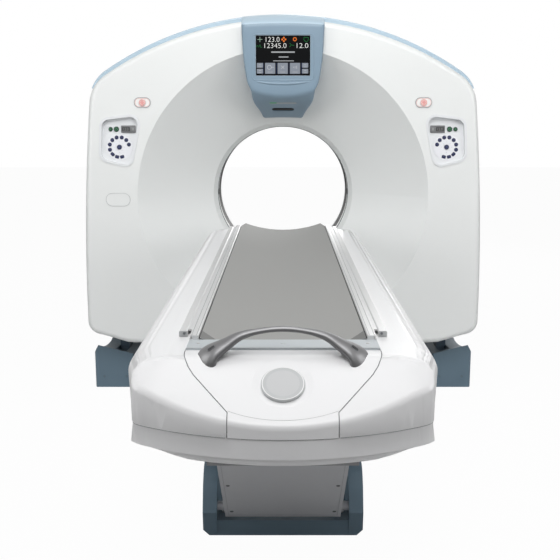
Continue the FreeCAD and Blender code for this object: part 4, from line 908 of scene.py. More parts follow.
HEAD_STATIONS = (
    # y, z, half width, corner radius, fall at the sides, rise at the sides
    (-0.4215, 1.9262, 0.2020, 0.006, 0.0110, 0.0), (-0.4360, 1.9240, 0.2018, 0.010, 0.0110, 0.0),
    (-0.4540, 1.9185, 0.2014, 0.012, 0.0110, 0.0), (-0.4740, 1.9100, 0.2010, 0.013, 0.0108, 0.0),
    (-0.4930, 1.9000, 0.2005, 0.014, 0.0100, 0.0), (-0.5080, 1.8905, 0.2002, 0.014, 0.0090, 0.0),
    (-0.5180, 1.8825, 0.2000, 0.014, 0.0085, 0.0), (-0.5235, 1.8755, 0.1998, 0.014, 0.0080, 0.0),
    (-0.5255, 1.8670, 0.1996, 0.014, 0.0070, 0.0), (-0.5260, 1.8550, 0.1992, 0.014, 0.0050, 0.0),
    (-0.5260, 1.8200, 0.1978, 0.014, 0.0, 0.0), (-0.5260, 1.7500, 0.1946, 0.014, 0.0, 0.0),
    (-0.5260, 1.7000, 0.1900, 0.014, 0.0, 0.0), (-0.5260, 1.6560, 0.1842, 0.014, 0.0, 0.0),
    (-0.5260, 1.6200, 0.1792, 0.014, 0.0, 0.0030), (-0.5260, 1.5900, 0.1742, 0.014, 0.0, 0.0080),
    (-0.5260, 1.5650, 0.1692, 0.014, 0.0, 0.0170), (-0.5258, 1.5450, 0.1632, 0.014, 0.0, 0.0240),
    (-0.5245, 1.5360, 0.1600, 0.014, 0.0, 0.0260), (-0.5190, 1.5270, 0.1570, 0.013, 0.0, 0.0260),
    (-0.5080, 1.5200, 0.1545, 0.012, 0.0, 0.0220), (-0.4900, 1.5128, 0.1515, 0.012, 0.0, 0.0100),
    (-0.4740, 1.5068, 0.1490, 0.012, 0.0, 0.0030), (-0.4500, 1.4978, 0.1450, 0.012, 0.0, 0.0),
    (-0.4150, 1.4848, 0.1375, 0.012, 0.0, 0.0), (-0.3800, 1.4717, 0.1275, 0.012, 0.0, 0.0),
    (-0.3400, 1.4568, 0.1180, 0.012, 0.0, 0.0), (-0.3000, 1.4419, 0.1100, 0.012, 0.0, 0.0),
    (-0.2680, 1.4320, 0.1045, 0.011, 0.0, -0.0050), (-0.2560, 1.4310, 0.1000, 0.010, 0.0, -0.0070),
)


@dataclass
class DisplayHead:
    """Lit figures, keys and lines of the head over the bore, with its lamp."""

    body: str = "gantry"
    width: float = 0.264
    height: float = 0.190
    middle_z: float = 1.724
    glass_y: float = -0.5245
    figure_lift: float = 0.0003
    figure_depth: float = 0.0002
    facing: Point = FRONT
    under_facing: Point = (0.0, -0.349, -0.937)
    slot_facing: Point = (0.0, -0.3496, -0.9369)
    brow_z: float = 1.87
    roof_back: float = -0.4200
    slope_top: float = 1.804
    slope_foot: float = 1.624
    slope_depth: float = 0.248
    foot_lean: float = 0.175

    def spot(self, u: float, v: float) -> Point:
        """Place on the glass at shares of its width from the left and height from the top."""
        return ((u - 0.5) * self.width, self.glass_y - self.figure_lift, self.middle_z + (0.5 - v) * self.height)

    def show(self, piece: bpy.types.Object, name: str, finish: Finish) -> None:
        """Settle one lit part of the screen."""
        settle(piece, name, finish, self.body, "screen_glass")

    def plate(self, width: float, height: float, radius: float) -> bpy.types.Object:
        """Model a thin lit plate, face up."""
        return rounded_plate(width, height, self.figure_depth, radius, 0.0)

    def figures(self) -> None:
        """Three position readings in white."""
        # words, place, width and height, as shares of the glass
        rows = (("123.0", 0.312, 0.105, 0.250, 0.118), ("12345.0", 0.362, 0.255, 0.40, 0.118),
                ("12.0", 0.855, 0.255, 0.21, 0.118))
        for number, (words, u, v, wide, tall) in enumerate(rows):
            piece = printed(words, wide * self.width, tall * self.height)
            self.show(stood(piece, self.spot(u, v), self.facing), "reading_%d" % number, WHITE_LIT)

    def cross(self, arm: float, thick: float) -> bpy.types.Object:
        """Model an upright cross, face up."""
        bar = self.plate(arm, thick, thick * 0.3)
        post = rounded_plate(thick, arm, self.figure_depth * 1.1, thick * 0.3, 0.0)
        return merge([bar, post])

    def icons(self) -> None:
        """Plain signs beside the readings."""
        self.show(stood(self.cross(0.024, 0.0026), self.spot(0.08, 0.105), self.facing), "table_sign", PALE_GREEN_LIT)
        x, y, z = self.spot(0.515, 0.105)
        dots = [stood(self.plate(0.0088, 0.0088, 0.0040), (x + across * 0.0078, y, z + up * 0.0078), self.facing)
                for across, up in ((0, 1), (1, 0), (0, -1), (-1, 0))]
        self.show(merge(dots), "move_sign", ORANGE_LIT)
        x, y, z = self.spot(0.715, 0.10)
        self.show(ring(0.0075, 0.0028, (x, y + 0.0022, z), self.facing), "scan_sign", ORANGE_LIT)
        shield = [(-0.011, 0.010), (-0.004, 0.0085), (0.0, 0.0105), (0.004, 0.0085), (0.011, 0.010), (0.0105, -0.001),
                  (0.006, -0.008), (0.0, -0.0118), (-0.006, -0.008), (-0.0105, -0.001)]
        self.show(self.stroke(0.92, 0.105, shield, 0.0009, closed=True), "shield_sign", GREEN_LIT)
        steps = [(-0.014, -0.006), (-0.014, 0.002), (-0.008, 0.002), (-0.008, -0.004), (-0.002, -0.004),
                 (-0.002, 0.005), (0.004, 0.005), (0.004, -0.006), (0.011, -0.006)]
        self.show(self.stroke(0.075, 0.265, steps, 0.0007), "height_sign", GREEN_LIT)
        arrow, tail = [(-0.006, 0.010), (0.002, 0.002), (-0.007, -0.008)], [(0.002, 0.002), (0.016, 0.0)]
        self.show(merge([self.stroke(0.645, 0.25, points, 0.0008) for points in (arrow, tail)]), "tilt_sign", GREEN_LIT)

    def stroke(self, u: float, v: float, points: Sequence[tuple[float, float]], radius: float,
               closed: bool = False) -> bpy.types.Object:
        """Draw a fine line through points given from a place on the glass."""
        x, y, z = self.spot(u, v)
        return bead([(x + across, y, z + up) for across, up in points], radius, closed=closed)

    def fields(self) -> None:
        """Blank lines where an entry would stand."""
        bars = []
        for u, v, wide, tall in ((0.50, 0.415, 0.43, 0.034), (0.51, 0.535, 0.18, 0.026), (0.51, 0.63, 0.38, 0.018)):
            bars.append(stood(self.plate(wide * self.width, tall * self.height, 0.0015), self.spot(u, v), self.facing))
        self.show(merge(bars), "blank_lines", GREY_LIT)

    def keys(self) -> None:
        """Seven grey keys along the lower edge, with plain signs."""
        # place, width and height, as shares of the glass
        large = [(u, 0.815, 0.186, 0.27) for u in (0.265, 0.495, 0.72)]
        small = [(u, v, 0.112, 0.115) for u in (0.078, 0.905) for v in (0.74, 0.885)]
        for number, (u, v, wide, tall) in enumerate(large + small):
            key = self.plate(wide * self.width, tall * self.height, 0.0018)
            self.show(stood(key, self.spot(u, v), self.facing), "screen_key_%d" % number, KEY_LIT)
            x, y, z = self.spot(u, v)
            y -= self.figure_depth
            signs = [(self.plate(wide * self.width * 0.5, 0.0016, 0.0006), x, z - tall * self.height * 0.34, 0.0)]
            if number == 0:
                signs.append((self.plate(0.010, 0.0022, 0.001), x + 0.012, z + 0.005, 0.0))
            elif number == 1:
                signs.append((self.cross(0.020, 0.0022), x, z + 0.005, 45.0))
            elif number == 2:
                signs += [(self.plate(0.0024, 0.010 + 0.004 * step, 0.0008), x + 0.008 * step, z + 0.005, 0.0)
                          for step in (-1, 0, 1)]
            else:
                signs.append((self.plate(0.012, 0.0018, 0.0008), x, z + 0.002, 0.0))
            parts = [stood(sign, (across, y, up), self.facing, turn_deg=turn) for sign, across, up, turn in signs]
            if number == 0:
                parts.append(ring(0.0095, 0.0014, (x - 0.004, y + 0.0008, z + 0.005), self.facing))
            self.show(merge(parts), "screen_key_sign_%d" % number, WHITE_DIM_LIT)
        for number, u in enumerate((0.145, 0.38, 0.61, 0.84)):
            gap = self.plate(0.0022, 0.27 * self.height, 0.0008)
            self.show(stood(gap, self.spot(u, 0.815), self.facing), "key_divider_%d" % number, NAVY_LIT)

    def rim(self) -> None:
        """Pale rim round the glass and the faint step over it."""
        half, tall = self.width / 2 - 0.0004, self.height / 2 - 0.0004
        corners = [(-half, tall), (half, tall), (half, -tall), (-half, -tall)]
        line = bead([(x, self.glass_y - 0.0001, self.middle_z + z) for x, z in corners], 0.0009, closed=True)
        settle(line, "glass_rim", RIM_ABS, self.body, "bezel_white")
        brow_z = self.middle_z + self.height / 2 + 0.008
        step = [(-0.146, brow_z - 0.003), (-0.138, brow_z), (0.138, brow_z), (0.146, brow_z - 0.003)]
        line = bead([(x, -0.5257, z) for x, z in step], 0.0011)
        settle(line, "brow_line", HOUSING_SHADE, self.body, "housing_blue_grey")

    def lamp(self) -> None:
        """Lens of the lamp: one lit part at the left and a silver rest."""
        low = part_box("light_strip")[0]
        middle = middle_of("light_strip")
        parts = ((low[0] + 0.020, 0.034, 0.0008, "lamp_lit_part", LAMP_GREEN),
                 (0.016, 0.096, 0.0006, "lamp_rest", LAMP_SILVER))
        for x, wide, depth, name, finish in parts:
            at = laid([(x, middle.y - 0.01, middle.z - 0.01)], "light_strip", 0.0003)[0]
            part = stood(rounded_plate(wide, 0.010, depth, 0.004), at, self.under_facing)
            settle(part, name, finish, self.body, "strip_lens")

    def intercom(self) -> None:
        """Three rows of small holes behind the intercom's slot."""
        pitch = 0.0042
        middle = Vector(laid([(0.0, -0.38, 1.46)], "intercom_slot", 0.0002)[0])
        along = Vector((1.0, 0.0, 0.0))
        up = Vector(self.under_facing).cross(along)
        places = [(tuple(middle + along * (i * pitch) + up * (j * pitch)), self.under_facing)
                  for i in range(-12, 13) for j in range(-1, 2)]
        holes = spread(cap_screw(0.0012, 0.0004), places)
        settle(holes, "intercom_holes", DARK_PERFORATION, self.body, "black_plastic")

    def back_y(self, z: float) -> float:
        """Where the housing's back lies: upright at the roof, then down the funnel's slope."""
        if z > self.slope_top:
            return self.roof_back
        if z > self.slope_foot:
            return self.roof_back + (self.slope_top - z) / (self.slope_top - self.slope_foot) * self.slope_depth
        return self.roof_back + self.slope_depth - (self.slope_foot - z) * self.foot_lean

    def section(self, number: int) -> list[Point]:
        """Outline of the housing at one station.

        Args:
            number: which of the stations.

        Returns:
            The front with its rounded corners, then the two corners at the back.
        """
        y, z, half, radius, fall, rise = HEAD_STATIONS[number]
        before, after = HEAD_STATIONS[max(0, number - 1)], HEAD_STATIONS[min(len(HEAD_STATIONS) - 1, number + 1)]
        along = Vector((0.0, after[0] - before[0], after[1] - before[1])).normalized()
        inward = Vector((0.0, -along.z, along.y))
        front = [((half - radius) * step / 9, Vector((0.0, 0.0, 0.0))) for step in range(-9, 10)]
        for step in range(1, 6):
            turn = math.radians(18 * step)
            deep = inward * (radius * (1 - math.cos(turn)))
            reach = half - radius + radius * math.sin(turn)
            front = [(-reach, deep)] + front + [(reach, deep)]
        back, row = self.back_y(z), []
        for x, deep in front:
            lift = rise * (x / 0.150) ** 2 - fall * (x / 0.200) ** 2
            row.append((x, min(y + deep.y, back - 0.0004), z + lift + deep.z))
        return row + [(half, back, row[-1][2]), (-half, back, row[0][2])]

    def housing(self) -> None:
        """Housing with an arched brow, rounded flanks and a crease that curves up to the sides; the brow's up-facing
        faces carry painted light in a paler enamel.
        """
        piece = lofted([self.section(number) for number in range(len(HEAD_STATIONS))])
        low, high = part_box("display_screen")
        mouth = block((high[0] - low[0] + 0.001, 0.04, high[2] - low[2] + 0.001),
                      (0.0, low[1] + 0.0050, (low[2] + high[2]) / 2), 0.0001)
        at = middle_of("intercom_slot") + Vector((0.0, -0.0079, -0.0045))
        slot = stood(rounded_plate(0.1124, 0.0470, 0.0400, 0.0200), tuple(at), self.slot_facing)
        for cutter in (mouth, slot):  # the mouth for the screen, the pocket for the slot
            apply_modifier(piece, "BOOLEAN", operation="DIFFERENCE", object=cutter, solver="EXACT")
            bpy.data.objects.remove(cutter)
        settle(piece, "display_housing_formed", HOUSING_ENAMEL, self.body, "housing_blue_grey", 40.0)
        piece.data.materials.append(BLUE_ENAMEL.material())
        for face in piece.data.polygons:  # the brow's up-facing faces take the top cover's paler enamel as painted light from above
            if face.normal.z > 0.30 and face.center.z > self.brow_z:
                face.material_index = 1
        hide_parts("display_housing")

    def slot_floor(self) -> None:
        """Black floor of the slot under the lamp."""
        at = middle_of("intercom_slot") + Vector((0.0, -0.0059, 0.0009))
        floor = stood(rounded_plate(0.1150, 0.0500, 0.0008, 0.0210), tuple(at), self.slot_facing)
        settle(floor, "slot_floor", DARK_ABS, self.body, "black_plastic")

    def surround(self) -> None:
        """Low soft ridge round the screen and the rounded ledge below it."""
        radius, half, top, foot = 0.022, 0.151, 1.8240, 1.6080
        middles = [(half - radius, top - radius), (radius - half, top - radius), (radius - half, foot + radius),
                   (half - radius, foot + radius)]
        points = []
        for number, (x, z) in enumerate(middles):
            for step in range(9):
                turn = math.radians(90 * number) + math.radians(90 * step / 8)
                points.append((x + radius * math.cos(turn), -0.5232, z + radius * math.sin(turn)))
        settle(bead(points, 0.0040, closed=True, sides=4), "screen_surround", HOUSING_ENAMEL, self.body,
               "housing_blue_grey", 60.0)
        shares = [step / 8 - 1 for step in range(17)]
        ledge = [(0.138 * share, -0.5226, 1.6030 - 0.012 * (1 - share ** 2)) for share in shares]
        swell = [0.35 + 0.65 * (1 - share ** 4) for share in shares]
        settle(bead(ledge, 0.0075, sides=6, swell=swell), "screen_ledge", HOUSING_ENAMEL, self.body,
               "housing_blue_grey", 60.0)

    def build(self) -> None:
        """Build everything on the display head."""
        self.housing()
        self.surround()
        self.slot_floor()
        self.figures()
        self.icons()
        self.fields()
        self.keys()
        self.rim()
        self.lamp()
        self.intercom()


# ---------------------------------------------------------------- operator panels

@dataclass
class Mirrored:
    """A group of pieces that stands at the right and, mirrored, at the left.

    Attributes:
        side: one for the right, minus one for the left.
    """

    side: int = 1

    @property
    def name(self) -> str:
        """Which side the group is on."""
        return "right" if self.side > 0 else "left"

    def put(self, piece: bpy.types.Object, name: str, finish: Finish, slot: str, body: str = "gantry") -> None:
        """Settle a piece under its name with the side's."""
        settle(piece, name + "_" + self.name, finish, body, slot)


@dataclass
class OperatorPanel(Mirrored):
    """Key ring, caps, marks and readout of one operator panel."""

    panel_x: float = 0.813
    panel_z: float = 1.298
    ring_r: float = 0.049
    ring_drop: float = 0.012
    key_r: float = 0.0098
    keys: int = 10
    first_deg: float = 165.0
    step_deg: float = 30.0
    domes: int = 7
    top_rise: float = 0.076
    foot_y: float = -0.477
    foot_z: float = 1.114
    lean: float = 19 / 308
    facing: Point = (0.0, -1.0, 19 / 308)

    @property
    def middle_z(self) -> float:
        """Height of the key ring's middle."""
        return self.panel_z - self.ring_drop

    def on_pad(self, across: float, z: float, lift: float) -> Point:
        """Place on the leaning pad, mirrored for the left panel."""
        return (self.side * (self.panel_x + across), self.foot_y + (z - self.foot_z) * self.lean - lift, z)

    def key_ring(self) -> None:
        """Ten navy membrane keys: seven round domes and three blunt ones."""
        keys = []
        for i in range(self.keys):
            turn = math.radians(self.first_deg - self.step_deg * i)
            at = self.on_pad(self.ring_r * math.cos(turn), self.middle_z + self.ring_r * math.sin(turn), 0.0022)
            if i < self.domes:
                keys.append(turned_disc(self.key_r, 0.0024, at, self.facing, crown=0.0009))
            else:
                key = rounded_plate(0.0205, 0.0165, 0.0024, 0.005, 0.0006)
                keys.append(stood(key, at, self.facing, turn_deg=self.side * (math.degrees(turn) - 90)))
        self.put(merge(keys), "ring_keys", KEY_BLUE, "key_blue")

    def marks(self) -> None:
        """Faint direction marks round the centre key."""
        marks = []
        for i in range(8):
            turn = math.radians(45 * i)
            reach, size = (0.024, 0.003) if i % 2 else (0.026, 0.0052)
            at = self.on_pad(reach * math.cos(turn), self.middle_z + reach * math.sin(turn), 0.0016)
            mark = rounded_plate(size, 0.0016, 0.0003, 0.0007, 0.0)
            marks.append(stood(mark, at, self.facing, turn_deg=self.side * math.degrees(turn) + 90))
        self.put(merge(marks), "direction_marks", PAD_MARK, "key_grey")

    def caps(self) -> None:
        """Crowned caps on the keys that move, with their signs."""
        top_z = self.panel_z + self.top_rise
        # key, place across the panel, height, radius of the cap
        kinds = (("start_key", 0.013, top_z, 0.0122, KEY_GREEN, "key_green"),
                 ("option_key", 0.042, top_z, 0.0097, KEY_GREEN, "key_green"),
                 ("centre_key", 0.0, self.middle_z, 0.0117, KEY_BLUE, "key_blue"))
        for kind, across, z, radius, finish, slot in kinds:
            body = kind + "_" + self.name
            at = self.on_pad(across, z, 0.0054)
            self.put(turned_disc(radius, 0.0012, at, self.facing, crown=0.0008), kind + "_cap", finish, slot, body)
            x, y, z0 = at
            if kind == "start_key":
                sign = ring(radius * 0.52, 0.0006, (x, y - 0.0011, z0), self.facing, 32)
                stem = stood(rounded_plate(0.0012, 0.0055, 0.0004, 0.0005, 0.0), (x, y - 0.0016, z0 + 0.004),
                             self.facing)
                sign = merge([sign, stem])
            elif kind == "option_key":
                sign = stood(rounded_plate(0.0075, 0.0018, 0.0004, 0.0007, 0.0), (x, y - 0.0015, z0), self.facing)
            else:
                sign = ring(radius * 0.3, 0.0005, (x, y - 0.0013, z0), self.facing, 32)
            self.put(sign, kind + "_sign", GREEN_MARK if kind != "centre_key" else BLUE_MARK, slot, body)
        seats = [ring(radius + 0.0016, 0.0007, self.on_pad(across, z, 0.0004), self.facing)
                 for _, across, z, radius, _, _ in kinds]
        self.put(merge(seats), "key_seats", PAD_EDGE, "panel_grey")

    def readout(self) -> None:
        """Grey window with its darker cell of digits."""
        z = self.panel_z + self.top_rise
        # the layer, its place across the panel, its lift over the pad
        layers = ((rounded_plate(0.0735, 0.0355, 0.0016, 0.005, 0.0004), -0.047, 0.0041, "window", READOUT_FACE),
                  (rounded_plate(0.041, 0.0215, 0.0005, 0.0025, 0.0), -0.035, 0.0050, "cell", READOUT_CELL),
                  (printed("12.0", 0.024, 0.0125, 0.0003), -0.035, 0.0054, "digits", READOUT_INK),
                  (rounded_plate(0.008, 0.0125, 0.0005, 0.002, 0.0), -0.070, 0.0050, "sign", READOUT_INK))
        for layer, across, lift, name, finish in layers:
            self.put(stood(layer, self.on_pad(across, z, lift), self.facing), "readout_" + name, finish, "screen_glass")

    def build(self) -> None:
        """Build everything on the panel."""
        self.key_ring()
        self.marks()
        self.caps()
        self.readout()


@dataclass
class EmergencyStop(Mirrored):
    """Outline, inner line and sign of one emergency stop."""

    stop_x: float = 0.691
    stop_z: float = 1.503
    plate_y: float = -0.482
    button_y: float = -0.488
    width: float = 0.082
    height: float = 0.050

    def outline(self) -> None:
        """Grey and pale red lines round the oval."""
        for inset, depth, radius, name, finish in ((0.003, 0.0, 0.0016, "stop_outline", OUTLINE_GREY),
                                                   (0.011, 0.0002, 0.0012, "stop_inner_line", STOP_BLUSH)):
            at = (self.side * self.stop_x, self.plate_y + depth, self.stop_z)
            line = bead(pill_points(self.width - inset, self.height - inset, at), radius, closed=True)
            self.put(line, name, finish, "bezel_white")

    def sign(self) -> None:
        """Red rosette that rides on the button."""
        x, z = self.side * self.stop_x, self.stop_z
        petals = []
        for i in range(6):
            turn = math.radians(60 * i + 30)
            at = (x + 0.0078 * math.cos(turn), self.button_y - 0.0002, z + 0.0078 * math.sin(turn))
            petals.append(ring(0.0038, 0.0010, at, FRONT, 24))
        rim = ring(0.0142, 0.0008, (x, self.button_y + 0.0004, z), FRONT)
        dot = turned_disc(0.0022, 0.0008, (x, self.button_y - 0.0004, z), FRONT, crown=0.0003, sides=24)
        for piece, name in ((merge(petals), "stop_rosette"), (rim, "stop_rim"), (dot, "stop_dot")):
            self.put(piece, name, STOP_RED, "stop_red", "stop_button_" + self.name)

    def build(self) -> None:
        """Build everything on the stop."""
        self.outline()
        self.sign()


# ---------------------------------------------------------------- covers

@dataclass
class GantryCovers:
    """Lines, windows, screws and seals of the gantry's covers."""

    body: str = "gantry"
    rear_y: float = 0.500
    hatch_at: Point = (-0.826, -0.4818, 1.026)
    throat_r: float = 0.350

    def hatch(self) -> None:
        """Groove line round the access hatch."""
        line = bead(pill_points(0.121, 0.064, self.hatch_at), 0.0009, closed=True)
        settle(line, "hatch_line", HATCH_LINE, self.body, "cover_white")

    def laser_windows(self) -> None:
        """Dark windows of the positioning lines at both sides of the throat."""
        windows, rims = [], []
        for side, _ in SIDES:
            at, facing = (side * (self.throat_r - 0.0012), -0.100, ISO_Z), (-side, 0.0, 0.0)
            windows.append(stood(rounded_plate(0.052, 0.028, 0.0016, 0.008), at, facing, REAR))
            rims.append(stood(rounded_plate(0.058, 0.034, 0.0008, 0.010), at, facing, REAR))
        settle(merge(windows), "laser_windows", READOUT_GLASS, self.body, "screen_glass")
        settle(merge(rims), "laser_window_rims", OUTLINE_GREY, self.body, "bezel_white")

    def window_lines(self) -> None:
        """Dark joints at both edges of the scan window."""
        lines = [ring(self.throat_r + 0.0008, 0.0012, (0.0, y, ISO_Z), FRONT, 128)
                 for y in (-0.0622, 0.0622)]
        settle(merge(lines), "scan_window_joints", DARK_ABS, self.body, "black_plastic")

    def rear_screws(self) -> None:
        """Cover screws in shallow cups on the rear face."""
        spots = [(x, z) for x in (-0.86, 0.86) for z in (0.42, 1.03, 1.55)] + [(-0.42, 1.74), (0.42, 1.74)]
        places = [(laid([(x, self.rear_y + 0.01, z)], "rear_cover", -0.0030)[0], REAR) for x, z in spots]
        screws("rear_screws", 0.009, 0.004, places, STEEL, self.body)
        cups = [ring(0.0125, 0.0011, (at[0], at[1] + 0.0018, at[2]), REAR) for at, _ in places]
        settle(merge(cups), "rear_screw_cups", HATCH_LINE, self.body, "cover_white")

    def build(self) -> None:
        """Build everything on the covers."""
        self.hatch()
        self.laser_windows()
        self.window_lines()
        self.rear_screws()


# ---------------------------------------------------------------- table and cradle

HANDLE_KNOTS = (
    # x, y, z, half breadth, half thickness, turn of the breadth outwards; the other half mirrors them
    (0.0000, -2.882, 0.9548, 0.0078, 0.0068, 0.0), (0.0533, -2.881, 0.9496, 0.0090, 0.0068, 0.0),
    (0.0996, -2.880, 0.9373, 0.0155, 0.0102, 8.0), (0.1355, -2.882, 0.9163, 0.0250, 0.0140, 20.0),
    (0.1630, -2.885, 0.8995, 0.0335, 0.0165, 31.0), (0.1755, -2.887, 0.8850, 0.0365, 0.0180, 35.0),
    (0.1800, -2.888, 0.8660, 0.0360, 0.0175, 35.0),
)


@dataclass
class TableTop:
    """Lines, caps, rim, slots and small fittings of the table top and the cradle."""

    shell_body: str = "carriage"
    cradle_body: str = "cradle"
    foot_middle: Point = (0.0, -2.70, 0.0)
    skirt_z: float = 0.7517
    rim_z: float = 0.7060
    pan_top: float = 0.901
    pan_half: float = 0.206
    pan_dip: float = 0.039
    pan_foot_y: float = -2.7590
    foot_from: float = -2.78
    foot_draw: float = 0.020
    shoulder_drop: float = 0.008
    skirt_step: float = 0.0022
    tub_from: float = -2.66
    tub_draw: float = 0.14

    def pan_z(self, x: float) -> float:
        """Height of the hollow pan's surface, which is part of a cylinder."""
        radius = (self.pan_half ** 2 + self.pan_dip ** 2) / (2 * self.pan_dip)
        return self.pan_top - self.pan_dip + radius - math.sqrt(radius ** 2 - x ** 2)

    def fascia_line(self) -> None:
        """Thin joint that runs across the tail cover in a shallow curve."""
        curve = arc_through((-0.1215, -3.0241, 0.8054), (0.0, -3.0458, 0.7914), (0.1215, -3.0241, 0.8054))
        settle(bead(laid(curve, "tail_cover"), 0.0006), "fascia_line", FINE_LINE, self.cradle_body, "cover_white")

    def roundel(self) -> None:
        """Bright rim and fine inner ring on the bare roundel."""
        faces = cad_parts["roundel"].data.polygons
        out = max(faces, key=lambda face: face.area if face.normal.z > 0.5 else 0.0).normal.normalized()
        front = middle_of("roundel") + out * 0.0035
        parts = ((ring(0.0468, 0.0016, tuple(front - out * 0.0003), out, 96), "roundel_rim", RIM_SILVER),
                 (ring(0.0405, 0.0006, tuple(front), out, 96), "roundel_ring", RIM_SILVER),
                 (turned_disc(0.0392, 0.0008, tuple(front + out * 0.0001), out, crown=0.0007, sides=72),
                  "roundel_face", ROUNDEL_FACE))
        for piece, name, finish in parts:
            settle(piece, name, finish, self.cradle_body, "strip_pale")

    def strip_marks(self) -> None:
        """Centre mark and screws on the end strip."""
        top = 0.8982
        arrow = bead([(-0.006, -2.797, top), (0.0, -2.803, top), (0.006, -2.797, top)], 0.0007)
        settle(arrow, "centre_mark", HATCH_LINE, self.cradle_body, "strip_pale")
        places = [((x, -2.799, top + 0.0004), UP) for x in (-0.205, -0.125, 0.125, 0.205)]
        screws("strip_screws", 0.0042, 0.0016, places, STEEL, self.cradle_body)
        edge = bead([(-0.2295, -2.8376, 0.8975), (0.2295, -2.8376, 0.8975)], 0.0008)
        settle(edge, "strip_edge", HATCH_LINE, self.cradle_body, "strip_pale")

    def pan_lines(self) -> None:
        """Dark joints between the pan and its rails, and the pan's bound foot edge."""
        lines = [bead([(side * 0.2070, -2.757, 0.9012), (side * 0.2070, -0.562, 0.9012)], 0.0017) for side in (1, -1)]
        settle(merge(lines), "pan_joints", DARK_ABS, self.cradle_body, "black_plastic")
        across = [0.205 * step / 20 for step in range(-20, 21)]
        curve = [(x, self.pan_foot_y - 0.0002, self.pan_z(x) + 0.0002) for x in across]
        settle(bead(curve, 0.0010), "pan_foot_edge", GREY_SEAL, self.cradle_body, "rubber_black")

    def tub(self) -> None:
        """Tub that draws in at its foot end."""
        cuts = [((0.0, self.tub_from - 0.03 * step, 0.0), REAR) for step in range(7)]

        def move(spot: Vector) -> Vector:
            """Narrow the tub towards its foot end."""
            spot.x *= 1 - self.tub_draw * ease((self.tub_from - spot.y) / 0.19)
            return spot

        settle(reworked("carriage_tub", cuts, move), "carriage_tub_formed", TUB_POWDER, self.shell_body, "arm_grey")

    @staticmethod
    def outward(turn_deg: float) -> Vector:
        """Level direction out of the foot, turned from straight ahead."""
        turn = math.radians(turn_deg)
        return Vector((math.sin(turn), -math.cos(turn), 0.0))

    def under_flare(self, shell: bpy.types.Object) -> None:
        """Shallow dish that runs from the skirt's lower edge in to the tub round the foot.

        Args:
            shell: the formed shell that it hangs under.
        """
        rings = []
        middle = Vector(self.foot_middle)
        for turn in range(-90, 91, 3):
            out = self.outward(turn)
            start = middle + Vector((0.0, 0.0, self.rim_z + 0.0020)) + out
            edge = Vector(dropped([tuple(start)], shell, tuple(-out))[0])
            reach = (Vector((edge.x, edge.y, 0.0)) - middle).length
            inner = min(0.237 / max(abs(out.x), 0.001), 0.159 / max(abs(out.y), 0.001))
            deep = 0.3 + 0.7 * ease((0.33 - abs(edge.x)) / 0.11)
            # distance out from the foot's middle, height over the rim
            section = [(reach - 0.003, 0.0002), (reach - 0.003, -0.0008 - 0.001 * deep), (reach - 0.006, -0.009 * deep),
                       (reach - 0.014, -0.018 * deep), (reach - 0.028, -0.026 * deep), (inner, -0.032 * deep),
                       (inner, 0.0002)]
            rings.append([(out.x * far, middle.y + out.y * far, self.rim_z + up) for far, up in section])
        settle(lofted(rings), "shell_under_flare", TABLE_ENAMEL, self.shell_body, "cover_white", 40.0)

    def shade_pan_corners(self) -> None:
        """Thin darker sheets on the pan where it runs out at its foot corners: painted shade of the corners."""
        for side, name in SIDES:
            rings = []
            for step in range(9):
                x, edge = 0.2050 - 0.0700 * step / 8, -2.6850 - 0.0735 * step / 8
                rings.append([(side * x, y, self.pan_z(x) + rise) for y, rise in
                              ((edge, 0.0006), (self.pan_foot_y, 0.0006), (self.pan_foot_y, -0.0010), (edge, -0.0010))])
            settle(lofted(rings), "pan_corner_shade_" + name, PAN_CORNER_SHADE, self.cradle_body, "laminate_grey")

    def rail_fittings(self) -> None:
        """End caps on the guide rails and fine grooves on the cradle's rails."""
        caps, pegs, grooves = [], [], []
        for side, _ in SIDES:
            cap = rounded_plate(0.0205, 0.0150, 0.002, 0.003, 0.0008)
            caps.append(stood(cap, (side * 0.251, -2.7142, 0.9000), FRONT))
            pegs.append(turned_disc(0.0034, 0.006, (side * 0.2480, -2.717, 0.9030), FRONT, crown=0.0008, sides=24))
            for across in (0.2135, 0.2255):
                grooves.append(bead([(side * across, -2.757, 0.9081), (side * across, -0.563, 0.9081)], 0.0005))
        settle(merge(caps), "guide_end_caps", RAIL_CAP, self.shell_body, "rubber_black")
        settle(merge(pegs), "guide_end_pegs", GREY_SEAL, self.shell_body, "black_plastic")
        settle(merge(grooves), "rail_grooves", SATIN_DARK, self.cradle_body, "aluminium")

    def shell(self) -> bpy.types.Object:
        """Shell that draws in towards its foot, with a softer shoulder and a stepped skirt.

        Returns:
            The formed shell, which other pieces are laid on.
        """
        cuts = [((0.0, 0.0, z), UP) for z in (0.7500, 0.7535)]
        cuts += [((0.0, self.foot_from - 0.015 * step, 0.0), REAR) for step in range(14) if step != 4]
        cuts += [((side * x, 0.0, 0.0), (1.0, 0.0, 0.0)) for side in (1, -1) for x in (0.27, 0.29, 0.31, 0.33, 0.35)]

        def move(spot: Vector) -> Vector:
            """Draw in the foot's corners, lower the shoulder and set back the skirt."""
            reach, side = abs(spot.x), 1 if spot.x > 0 else -1
            outer = ease((reach - 0.24) / 0.11)
            draw = ease((self.foot_from - spot.y) / 0.11) * (1 - ease((-2.905 - spot.y) / 0.06))
            spot.x -= side * self.foot_draw * draw * outer * ease((spot.z - 0.700) / 0.028)
            spot.z -= self.shoulder_drop * ease((reach - 0.275) / 0.09) * ease((spot.z - 0.80) / 0.06)
            if spot.z < 0.752:
                spot.x -= side * self.skirt_step * outer
                spot.y += self.skirt_step * ease((-2.92 - spot.y) / 0.10)
            return spot

        piece = reworked("table_shell", cuts, move)
        formed = settle(piece, "table_shell_formed", TABLE_ENAMEL, self.shell_body, "cover_white", 33.0)
        for face in formed.data.polygons:  # the trough is flat, and its long faces would show their diagonals
            if abs(face.normal.z) > 0.999 or abs(face.normal.x) > 0.999:
                face.use_smooth = False
        return formed

